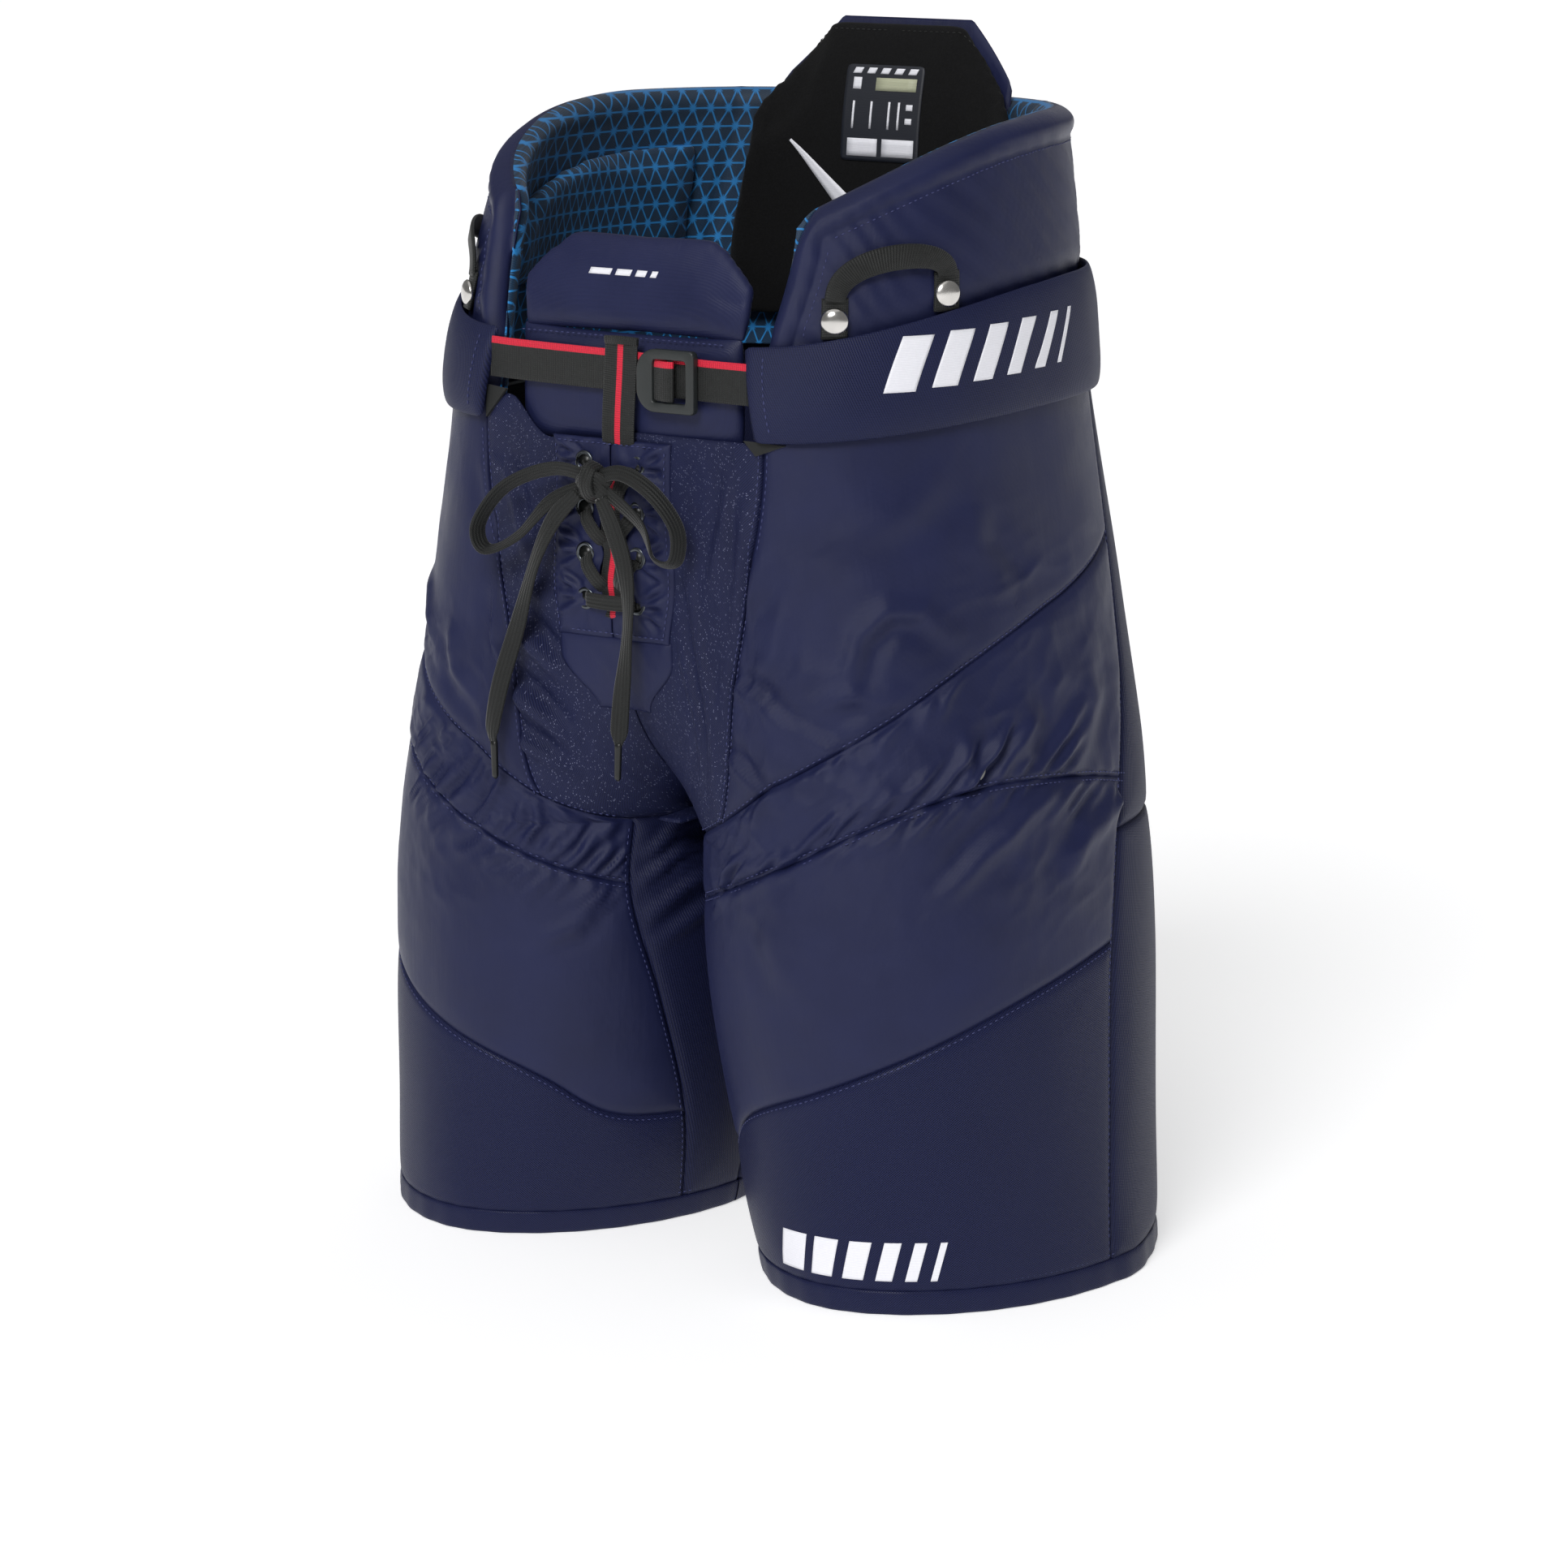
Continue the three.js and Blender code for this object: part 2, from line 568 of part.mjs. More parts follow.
function footHeight(angle) {
  return beltEdgeHigh(angle) + rivetRadius + 1;
}

function loopPoint(side, t, across, offset) {
  const [from, to] = loopFeet;
  const swing = Math.PI * t;
  const middle = (from + to) / 2;
  const reach = (to - from) / 2;
  const base = mix(footHeight(from), footHeight(to), t) + rivetRadius + 0.9;
  const level = base + (loopRise - loopWidth / 2 + across) * Math.sin(swing) ** 0.8;
  const spread = reach + across / 2.1;
  const point = bodyPoint(level, middle - spread * Math.cos(swing), offset + 2.5 * Math.sin(swing));
  point.x *= side;
  return point;
}

function buildLoop(side, name) {
  const place = (t, across, offset) => loopPoint(side, t, across, offset);
  addMesh(`suspender_loop_${name}`, panel(place, fractions(12), [-loopWidth / 2, loopWidth / 2],
    loopStandoff, loopStandoff + 2.2), webbing);
  loopFeet.forEach((angle, i) => {
    const height = footHeight(angle);
    const base = bodyPoint(height, angle, seamGap);
    const outward = bodyPoint(height, angle, seamGap + 1).sub(base).setZ(0).normalize();
    const head = new THREE.CylinderGeometry(rivetRadius * 0.75, rivetRadius, 3.4, 12);
    const rivet = addMesh(`rivet_${name}_${i === 0 ? 'front' : 'side'}`, head, steel);
    outward.x *= side;
    base.x *= side;
    rivet.quaternion.setFromUnitVectors(new THREE.Vector3(0, 1, 0), outward);
    rivet.position.copy(base.addScaledVector(outward, 1.7 + 1));
  });
}

// ---- Assembly -------------------------------------------------------------------------------------
for (const [side, name] of [[1, 'left'], [-1, 'right']]) {
  buildLeg(side, name);
  buildPelvisSide(side, name);
  buildWing(side, name);
  buildPlacket(side, name);
  buildLoop(side, name);
}
buildCrotch();
buildTail();
buildSpine();
buildBelly();
buildWebbing();
buildBuckle();
buildCentreStrap();
buildTongue();
buildLace();

// The outline of everything but the free lace ends is centred front to back over the origin.
const freeLace = /^(lace_end|aglet)_/;
assembly.updateMatrixWorld(true);
const extent = new THREE.Box3();
for (const mesh of assembly.children) {
  if (!freeLace.test(mesh.name)) extent.expandByObject(mesh, true);
}
assembly.position.y = -(extent.min.y + extent.max.y) / 2;

export default assembly;
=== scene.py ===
"""Ice hockey pants standing on their hems: sewn fabric, pads, belt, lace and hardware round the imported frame."""
import math

import bmesh
import bpy
import numpy as np
from bpy.props import FloatProperty, FloatVectorProperty, IntProperty, PointerProperty
from bpy.types import Operator, Panel, PropertyGroup
from mathutils import Matrix, Vector, noise
from mathutils.bvhtree import BVHTree


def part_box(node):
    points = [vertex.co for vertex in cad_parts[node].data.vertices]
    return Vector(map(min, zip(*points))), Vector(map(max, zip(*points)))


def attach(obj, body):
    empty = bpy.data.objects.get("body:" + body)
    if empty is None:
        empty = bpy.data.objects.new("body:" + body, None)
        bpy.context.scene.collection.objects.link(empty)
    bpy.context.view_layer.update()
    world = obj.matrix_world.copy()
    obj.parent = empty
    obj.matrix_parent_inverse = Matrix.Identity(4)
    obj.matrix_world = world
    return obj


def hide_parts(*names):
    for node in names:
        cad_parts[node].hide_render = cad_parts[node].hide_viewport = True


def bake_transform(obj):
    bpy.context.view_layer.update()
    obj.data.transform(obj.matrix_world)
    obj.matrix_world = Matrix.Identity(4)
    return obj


bl_info = {
    "name": "Hockey Pants",
    "version": (1, 0, 0),
    "blender": (4, 5, 0),
    "location": "View3D > Sidebar > Hockey Pants",
    "description": "Builds padded hockey pants piece by piece",
    "category": "Object",
}

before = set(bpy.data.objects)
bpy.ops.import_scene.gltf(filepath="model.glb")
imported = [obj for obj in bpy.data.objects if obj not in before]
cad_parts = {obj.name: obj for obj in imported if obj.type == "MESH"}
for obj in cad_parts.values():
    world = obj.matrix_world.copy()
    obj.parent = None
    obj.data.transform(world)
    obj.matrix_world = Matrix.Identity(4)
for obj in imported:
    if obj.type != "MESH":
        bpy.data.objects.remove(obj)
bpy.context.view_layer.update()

MM = 0.001
LOW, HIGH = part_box("hem_band_left")
MIDDLE_Y = (LOW[1] + HIGH[1]) / 2 / MM
CROTCH, GROIN_TOP = 222.0, 330.0
SIDES = {"left": 1, "right": -1}
ARC = 1.75          # millimetres of cloth in one degree round a leg
HIP_AXIS = 340.0    # height of the axis that a leg swings on

# z, middle, outer half, inner half, depth, shift, roundness of one half's section, in millimetres
SECTIONS = np.array([
    [0, 116, 96, 92, 122, 0, 1.85], [60, 109, 97, 97, 124, 0, 1.95], [160, 98, 99, 96, 130, 0, 2.2],
    [250, 92, 94, 91, 132, 2, 2.2], [330, 82, 86, 81, 132, 4, 2.2], [400, 72, 83, 71, 131, 3, 2.2],
    [450, 62, 88, 61, 129, 1, 2.2], [499.5, 52, 95, 51, 123, 5, 2.2], [560, 40, 98, 39, 117, 13, 2.2],
])


# ---- sizes and colours ---------------------------------------------------------------------------
def colour(name, text, value):
    return FloatVectorProperty(name=name, description=text, default=value, size=3, min=0, max=1,
                               subtype="COLOR_GAMMA")


def length(name, text, value):
    return FloatProperty(name=name, description=text, default=value, min=0, subtype="DISTANCE", unit="LENGTH")


class PantsSizes(PropertyGroup):
    cloth_thick: length("Cloth thickness", "Thickness of a sewn panel", 0.0012)
    seam_dip: length("Seam dip", "How far a panel sinks at its seams", 0.0014)
    fold_strength: FloatProperty(name="Fold strength", description="Scales every sewn-in crease", default=1.5)
    crown: length("Panel crown", "How far a panel swells between its seams", 0.0016)
    grid: length("Grid step", "Size of a panel's mesh faces", 0.0026)
    stitch_pitch: length("Stitch pitch", "From one stitch to the next", 0.0034)
    stitch_long: length("Stitch length", "Length of one stitch", 0.0023)
    stitch_thick: length("Thread radius", "Radius of a stitch", 0.00034)
    mesh_pitch: length("Mesh pitch", "Distance between the dots of the mesh cloth", 0.0013)
    nylon_pitch: length("Nylon weave", "Distance between the threads of the nylon", 0.0006)
    knit_pitch: length("Knit pitch", "Distance between the ribs of the knit", 0.0012)
    star_pitch: length("Lining grid", "Side of a triangle printed on the lining", 0.0112)
    lace_width: length("Lace width", "Width of the flat lace", 0.009)
    lace_thick: length("Lace thickness", "Thickness of the flat lace", 0.0018)
    webbing_width: length("Webbing width", "Width of the waist webbing", 0.020)
    sim_frames: IntProperty(name="Cloth frames", description="Steps that plump up a pad", default=20, min=1)
    sim_pressure: FloatProperty(name="Pad pressure", description="Pressure inside a pad", default=4.0, min=0)


class PantsColours(PropertyGroup):
    nylon: colour("Nylon", "Satin nylon", (0.110, 0.128, 0.258))
    mesh_cloth: colour("Mesh cloth", "Perforated hem cloth", (0.078, 0.094, 0.208))
    knit: colour("Knit", "Stretch knit of belt and groin", (0.090, 0.108, 0.228))
    thread: colour("Thread", "Sewing thread", (0.205, 0.225, 0.40))
    black: colour("Black", "Webbing and lace", (0.068, 0.075, 0.072))
    stripe: colour("Stripe", "Stripe woven into the webbing", (0.84, 0.10, 0.22))
    lining: colour("Lining ground", "Ground of the lining", (0.045, 0.085, 0.12))
    star: colour("Lining print", "Lines printed on the lining", (0.13, 0.52, 0.80))
    padding: colour("Padding", "Spine pad's cloth", (0.040, 0.040, 0.045))
    buckle: colour("Buckle", "Buckle plastic", (0.15, 0.165, 0.165))
    guard: colour("Guard", "Moulded guard plates", (0.72, 0.72, 0.70))
    foam: colour("Foam", "Foam behind the guards", (0.30, 0.32, 0.36))
    label: colour("Label", "Woven label's ground", (0.125, 0.137, 0.172))
    beige: colour("Label block", "Light block on the label", (0.72, 0.73, 0.62))
    white: colour("White", "White print", (0.95, 0.95, 0.98))
    floor: colour("Floor", "Studio floor", (0.88, 0.88, 0.885))


def sizes():
    return bpy.context.scene.pants_sizes


def paint(name):
    """A named colour as linear light."""
    value = getattr(bpy.context.scene.pants_colours, name)
    return [c / 12.92 if c <= 0.04045 else ((c + 0.055) / 1.055) ** 2.4 for c in value] + [1.0]


# ---- body surface --------------------------------------------------------------------------------
def smooth(t):
    return t * t * (3 - 2 * t)


def ramp(value, low, high):
    return smooth(np.clip((value - low) / (high - low), 0, 1))


def section_slopes():
    count = len(SECTIONS)
    rows = []
    for i in range(count):
        before, after = SECTIONS[max(i - 1, 0)], SECTIONS[min(i + 1, count - 1)]
        rows.append((after - before) / (after[0] - before[0]))
    return np.array(rows)


SLOPES = section_slopes()


def section_at(z):
    z = np.clip(z, 0, SECTIONS[-1, 0])
    i = np.clip(np.searchsorted(SECTIONS[:, 0], z) - 1, 0, len(SECTIONS) - 2)
    low, high = SECTIONS[i], SECTIONS[i + 1]
    span = (high - low)[..., :1]
    t = (z[..., None] - low[..., :1]) / span
    return low + (high - low) * smooth(t) + t * (1 - t) * span * ((1 - t) * SLOPES[i] - t * SLOPES[i + 1])


def tube(z, turn, offset):
    v = section_at(z)
    c, s = np.cos(turn), np.sin(turn)
    power = 2 / v[..., 6]
    half = np.where(c >= -1e-9, v[..., 2], v[..., 3]) + offset
    x = v[..., 1] + half * np.sign(c) * np.abs(c) ** power
    y = v[..., 5] + (v[..., 4] + offset) * np.sign(s) * np.abs(s) ** power
    return np.stack([x, y, z], -1)


def body(z, angle, offset=0.0, side=1):
    """Points on one half of the pants in metres. Angle 0 is the outer side, -90 the front, 90 the back."""
    z, angle, offset = [np.asarray(v, float) for v in np.broadcast_arrays(z, angle, offset)]
    past = (np.abs(angle) - 90) / 90
    point = tube(z, np.radians(angle), offset)
    corner = tube(z, np.radians(90) * np.sign(angle), offset)
    straight = np.stack([corner[..., 0] * (1 - past), corner[..., 1], z], -1)
    drop = np.clip((GROIN_TOP - z) / (GROIN_TOP - CROTCH), 0, 1)
    turned = straight + (point - straight) * (1 - np.sqrt(1 - drop ** 2))[..., None]
    above = ((past > 0) & (z > CROTCH))[..., None]
    point = np.where(above, turned, point)
    point[..., 1] += MIDDLE_Y
    point[..., 0] *= side
    return point * MM


def curve(points):
    """A smooth function through (x, y) pairs, straight beyond its ends' values."""
    xs, ys = np.array(sorted(points), float).T
    slope = np.gradient(ys, xs)

    def at(x):
        x = np.clip(x, xs[0], xs[-1])
        i = np.clip(np.searchsorted(xs, x) - 1, 0, len(xs) - 2)
        h = xs[i + 1] - xs[i]
        t = (x - xs[i]) / h
        bend = t * (1 - t) * h
        rise = (ys[i + 1] - ys[i])
        own = bend * ((1 - t) * (slope[i] - rise / h) - t * (slope[i + 1] - rise / h))
        return ys[i] + rise * t + own
    return at


# Seams: heights over the angle, and angles over the height.
SEAM_TOP = curve([(-180, 222), (-139, 222.5), (-120, 234), (-98, 252), (-73, 275), (-53, 293), (-30, 315),
                  (-2, 337), (34, 361)])
SEAM_MIDDLE = curve([(-139, 188), (-124, 195), (-100, 210), (-72, 235), (-50, 250), (-30, 258), (-8, 256),
                     (22, 243)])
SEAM_LOW = curve([(-160, 60), (-133, 67), (-118, 84), (-87, 107), (-60, 127), (-27, 151), (6, 169)])
GROIN = curve([(222, -121), (235, -118), (304, -109), (364, -91), (420, -81), (450, -78)])
REAR = curve([(0, -4), (30, -2), (73, 1), (169, 6), (245, 15), (303, 27), (360, 34), (440, 39)])
INNER = curve([(0, -160), (65, -156), (130, -147), (189, -138), (222, -139)])
HEM_TOP = 12.5


def belt_low(angle):
    return 425 + 9 * ramp(np.asarray(angle, float), -82, 18)


def belt_high(angle):
    return belt_low(angle) + 45 + 16 * ramp(np.asarray(angle, float), -82, 18)


def rim(angle):
    return 530 + 43 * np.sin(np.pi / 2 * np.clip((np.asarray(angle, float) + 67) / 87, 0, 1))


def arc_low(angle, radius, offset=0.0):
    """Height where the body surface meets the circle round the hip axis."""
    z = np.full(np.shape(angle), CROTCH)
    for _ in range(8):
        y = body(z, angle, offset)[..., 1] / MM - MIDDLE_Y
        z = HIP_AXIS - np.sqrt(np.maximum(radius ** 2 - y ** 2, 0))
    return z


def squared(v, along=0.5, across=0.7):
    """Once round a section with rounded corners: a step along it and a step across it, -1 to 1."""
    c, s = np.cos(2 * np.pi * v), np.sin(2 * np.pi * v)
    return np.sign(c) * np.abs(c) ** along, np.sign(s) * np.abs(s) ** across


def rounded_end(distance, edge):
    """Rises from 0 at an end to 1 on a quarter circle."""
    return np.sqrt(np.clip(1 - (1 - np.clip(distance / edge, 0, 1)) ** 2, 0, 1))


def open_ends(u):
    """0 at both ends and 1 between them, so that a section closes to a line there."""
    return np.where((u < 1e-6) | (u > 1 - 1e-6), 0, 1)


# ---- meshes --------------------------------------------------------------------------------------
def new_piece(bm, name, material, rides=None, shade=True):
    mesh = bpy.data.meshes.new(name)
    bm.to_mesh(mesh)
    bm.free()
    obj = bpy.data.objects.new(name, mesh)
    bpy.context.scene.collection.objects.link(obj)
    if material:
        mesh.materials.append(bpy.data.materials[material])
    if shade:
        mesh.shade_smooth()
    if rides in ("left", "right"):
        bend(obj, rides)
    elif rides:
        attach(obj, rides)
    return obj


def bend(obj, name):
    """Bakes the piece's placement into its mesh."""
    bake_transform(obj)


def face_from(bm, centre):
    """Turns the faces of an open surface away from a centre, a point or a function of the face's middle."""
    bm.normal_update()
    total = 0.0
    for f in bm.faces:
        middle = f.calc_center_median()
        core = centre(middle) if callable(centre) else Vector(centre)
        total += f.normal.dot(middle - core) * f.calc_area()
    if total < 0:
        bmesh.ops.reverse_faces(bm, faces=bm.faces)


def from_behind(middle):
    return Vector((middle.x, middle.y + 0.1, middle.z))


def grid_of(columns, rows, place):
    """A grid whose points go where place says, with place's own cloth coordinates as its UV map."""
    bm = bmesh.new()
    bmesh.ops.create_grid(bm, x_segments=columns, y_segments=rows, size=0.5)
    u = np.array([v.co.x for v in bm.verts]) + 0.5
    v = np.array([v.co.y for v in bm.verts]) + 0.5
    points, cloth = place(np.clip(u, 0, 1), np.clip(v, 0, 1))
    layer = bm.loops.layers.uv.new("cloth")
    for vertex, point in zip(bm.verts, points):
        vertex.co = point
    bm.verts.index_update()
    for f in bm.faces:
        for loop in f.loops:
            loop[layer].uv = cloth[loop.vert.index]
    return bm


def thicken(obj, amount, offset=-1):
    """A wall grown inwards from the surface."""
    mod = obj.modifiers.new("Wall", "SOLIDIFY")
    mod.thickness, mod.offset = amount, offset
    return obj


def close_up(bm, distance=2e-5):
    bmesh.ops.remove_doubles(bm, verts=bm.verts, dist=distance)
    bmesh.ops.recalc_face_normals(bm, faces=bm.faces)
    return bm


def flat(value):
    """An edge at one height."""
    return lambda a: np.full(np.shape(a), float(value))


def leg_core(side):
    def at(point):
        return Vector((side * 0.085, MIDDLE_Y * MM, point.z))
    return at


def solve_panel(u, v, left, right, low, high):
    """Angles and heights of a panel between two seams given over the height and two over the angle."""
    z = np.full_like(u, 250.0)
    for _ in range(30):
        a = left(z) + (right(z) - left(z)) * u
        z = 0.5 * z + 0.5 * (low(a) + (high(a) - low(a)) * v)
    return a, z


def crumple(a, z, cell, seed, stretch=1.0, lean=0.0):
    """Facets with sharp ridges, as crinkled nylon has: 0 in a facet, 1 along its ridges."""
    values = np.empty(len(a))
    for i, (p, q) in enumerate(zip(a, z)):
        x, y = (p + lean * q) / cell, q / (cell * stretch)
        wobble = noise.noise((x * 0.8, y * 0.8, seed + 7.3)) * 0.5
        near = noise.voronoi((x + wobble, y - wobble, seed))[0]
        values[i] = min(1.0, near[0] * near[0] * 1.4)
    return values


def drape(a, z, wide, high, seed):
    """Slow folds."""
    return np.array([noise.noise((p / wide, q / high, seed)) for p, q in zip(a, z)])


def fan(seam, first, last, count, reach, lean, amount, wide, seed, up=1):
    """Puckers that start along a seam and lean away from it."""
    chance = np.random.default_rng(seed)
    gap = (last - first) / count
    strokes = []
    for a in np.linspace(first, last, count):
        a = a + gap * chance.uniform(-0.5, 0.5)
        far = reach * chance.uniform(0.3, 1.0)
        base = float(seam(a)) + 0.6 * up
        bow = chance.uniform(-0.12, 0.12) * far
        strokes.append(([(a, base), (a + (up * lean * far / 2 + bow) / ARC, base + up * far / 2),
                         (a + up * lean * far / ARC, base + up * far)],
                        wide * chance.uniform(0.6, 1.3), amount * chance.uniform(0.4, 1.0)))
    return strokes


def crease(a, z, strokes):
    """Creases along strokes: a ridge with a dip on one side, fading at its ends."""
    spot = np.stack([a * ARC, z], -1)
    lift = np.zeros(len(a))
    for points, wide, amount in strokes:
        line = np.array(points, float) * (ARC, 1)
        best, away, along = np.full(len(a), 1e9), np.zeros(len(a)), np.zeros(len(a))
        count = len(line) - 1
        for i in range(count):
            way = line[i + 1] - line[i]
            long = np.linalg.norm(way)
            way = way / long
            local = spot - line[i]
            t = np.clip(local @ way, 0, long)
            gap = np.linalg.norm(local - t[:, None] * way, axis=1)
            nearer = gap < best
            best = np.where(nearer, gap, best)
            away = np.where(nearer, local[:, 0] * way[1] - local[:, 1] * way[0], away)
            along = np.where(nearer, (i + t / long) / count, along)
        signed = np.copysign(best, away)
        fade = np.sin(np.pi * np.clip(along * 0.9 + 0.08, 0, 1)) ** 0.7
        trough = np.exp(-((signed - 1.7 * wide) / wide) ** 2)
        lift += sizes().fold_strength * amount * fade * (np.exp(-(signed / wide) ** 2) - 0.75 * trough)
    return lift


def relief(side, a, z, edge, folds, slow=0.8, pucker=None, strokes=()):
    """Height of the cloth over the body surface, in millimetres, from crown, dips at seams, folds and puckers."""
    s = sizes()
    arc = a * ARC
    lift = s.crown / MM * (1 - np.exp(-edge / 16)) - s.seam_dip / MM * np.exp(-(edge / 2.2) ** 2)
    away = ramp(edge, 2, 14)
    lift += slow * away * drape(arc, z, 34, 120, 3.1 + side)
    seed = 11.0 if side > 0 else 31.0
    for k, (angle, height, reach_a, reach_z, amount, cell, stretch, lean) in enumerate(folds):
        power = amount * np.exp(-((a - angle) / reach_a) ** 2 - ((z - height) / reach_z) ** 2)
        strong = power > 0.04
        if strong.any():
            part = crumple(arc[strong], z[strong], cell, seed + 5 * k, stretch, lean)
            part = part + 0.5 * crumple(arc[strong], z[strong], cell * 0.45, seed + 5 * k + 2, stretch, -lean)
            lift[strong] += power[strong] * (part - 0.45) * ramp(edge[strong], 0.5, 7)
    lift += crease(a, z, strokes) * ramp(edge, 0.2, 3)
    if pucker is not None:
        distance, amount = pucker
        wave = np.sin(arc / 2.3 + 2.5 * np.sin(arc / 11.0 + seed)) * np.exp(-distance / 7.0) * ramp(distance, 0, 2)
        lift += amount * wave
    return lift


def panel(name, side_name, shape, place_relief, material, grid=None, nodes=(), thick=None, rides=None):
    """One sewn panel of a half, between its seams."""
    side = SIDES[side_name]
    left, right, low, high = shape
    step = (grid or sizes().grid) / MM
    tall = float(np.max(high(np.linspace(-90, 0, 9)) - low(np.linspace(-90, 0, 9))))
    wide = float(np.max(np.abs(right(np.linspace(0, 450, 9)) - left(np.linspace(0, 450, 9))))) * ARC

    def place(u, v):
        a, z = solve_panel(u, v, left, right, low, high)
        edge = np.minimum(np.minimum(np.abs(a - left(z)), np.abs(a - right(z))) * ARC,
                          np.minimum(np.abs(z - low(a)), np.abs(z - high(a))))
        points = body(z, a, place_relief(side, a, z, edge), side)
        points[..., 0] = side * np.maximum(side * points[..., 0], 0.00025)
        return points, np.stack([a * ARC * MM, z * MM], -1)

    bm = grid_of(max(6, int(wide / step)), max(4, int(tall / step)), place)
    face_from(bm, leg_core(side))
    obj = new_piece(bm, f"{name}_{side_name}", material)
    thicken(obj, thick or sizes().cloth_thick)
    if nodes:
        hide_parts(*nodes)
    if rides:
        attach(obj, rides)
    else:
        bend(obj, side_name)
    return obj


def closed_pad(name, columns, rows, place, material):
    """A closed form from a grid whose rows go all the way round and whose end columns close."""
    bm = close_up(grid_of(columns, rows, place))
    return new_piece(bm, name, material)


def pad_place(side, left, right, low, high, inner, outer, edge=6.0, mirrored=False, lift=None):
    """Places a closed pad that follows the body: u runs across it and v round its section."""
    depth = (outer - inner) / 2

    def place(u, v):
        along, across = squared(v, 0.55, 0.8)
        if mirrored:
            a = 180 - np.abs(2 * u - 1) * (180 - abs(left))
            a = a * np.sign(left)
            sign = np.where(u < 0.5, -1, 1)
            ends_mm = (1 - np.abs(2 * u - 1)) * (180 - abs(left)) * ARC
        else:
            a = left + (right - left) * u
            sign = side
            ends_mm = np.minimum(u, 1 - u) * (right - left) * ARC
        slim = rounded_end(ends_mm, edge)
        bottom, top = low(a), high(a)
        middle, half = (bottom + top) / 2, (top - bottom) / 2
        half = half - 0.35 * edge * (1 - slim)
        z = middle + half * along
        offset = (inner + outer) / 2 + depth * across * slim
        if lift is not None:
            offset = offset + lift(a, z, across) * slim
        points = body(z, a, offset, 1)
        points[..., 0] *= sign
        return points, np.stack([a * ARC * MM * sign, z * MM], -1)
    return place


def spline_path(points, count):
    """Even points on a smooth line through a few, in millimetres, given in metres with the body's own y."""
    pts = np.array(points, float)
    pts = np.vstack([2 * pts[0] - pts[1], pts, 2 * pts[-1] - pts[-2]])
    fine = []
    for i in range(1, len(pts) - 2):
        p0, p1, p2, p3 = pts[i - 1:i + 3]
        for t in np.linspace(0, 1, 24, endpoint=False):
            fine.append(0.5 * (2 * p1 + (p2 - p0) * t + (2 * p0 - 5 * p1 + 4 * p2 - p3) * t ** 2
                               + (3 * p1 - p0 - 3 * p2 + p3) * t ** 3))
    fine.append(pts[-2])
    fine = np.array(fine)
    run = np.r_[0, np.cumsum(np.linalg.norm(np.diff(fine, axis=0), axis=1))]
    even = np.linspace(0, run[-1], count)
    line = np.stack([np.interp(even, run, fine[:, k]) for k in range(3)], -1)
    line[:, 1] += MIDDLE_Y
    return line * MM, float(run[-1] * MM)


def strap(name, line, facing, width, thick, material, rides=None, nodes=(), round_by=0.45, sections=16):
    """A flat strap along a line: facing gives the direction its face looks at each point."""
    line = np.asarray(line)
    facing = np.asarray(facing, float)
    if facing.ndim == 1:
        facing = np.repeat(facing[None], len(line), 0)
    tangent = np.gradient(line, axis=0)
    tangent /= np.linalg.norm(tangent, axis=1)[:, None]
    across = np.cross(tangent, facing)
    across /= np.linalg.norm(across, axis=1)[:, None]
    normal = np.cross(across, tangent)
    widths = np.broadcast_to(np.asarray(width, float), (len(line),))
    run = np.r_[0, np.cumsum(np.linalg.norm(np.diff(line, axis=0), axis=1))]

    def place(u, v):
        i = np.clip(np.rint(u * (len(line) - 1)).astype(int), 0, len(line) - 1)
        x, y = squared(v, round_by, 0.7)
        x, y = x * widths[i] / 2, y * thick / 2 * np.where((i == 0) | (i == len(line) - 1), 0.0, 1.0)
        points = line[i] + across[i] * x[:, None] + normal[i] * y[:, None]
        return points, np.stack([x, run[i]], -1)

    bm = grid_of(len(line) - 1, sections, place)
    close_up(bm)
    obj = new_piece(bm, name, material, rides=rides)
    if nodes:
        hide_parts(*nodes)
    return obj


def even_line(line, pitch):
    run = np.r_[0, np.cumsum(np.linalg.norm(np.diff(line, axis=0), axis=1))]
    marks = np.arange(pitch / 2, run[-1], pitch)
    return np.stack([np.interp(marks, run, line[:, k]) for k in range(3)], -1)


def sew(name, lines, material="Thread", rides="pelvis"):
    """Rows of stitches along lines."""
    s = sizes()
    bm = bmesh.new()
    for line in lines:
        spots = even_line(np.asarray(line), s.stitch_pitch)
        if len(spots) < 2:
            continue
        for spot, way in zip(spots, np.gradient(spots, axis=0)):
            turn = Vector(way).to_track_quat("X", "Z").to_matrix().to_4x4()
            size = Matrix.Diagonal((s.stitch_long / 2, s.stitch_thick, s.stitch_thick, 1))
            bmesh.ops.create_icosphere(bm, subdivisions=1, radius=1, matrix=Matrix.Translation(spot) @ turn @ size)
    return new_piece(bm, name, material, rides=rides)


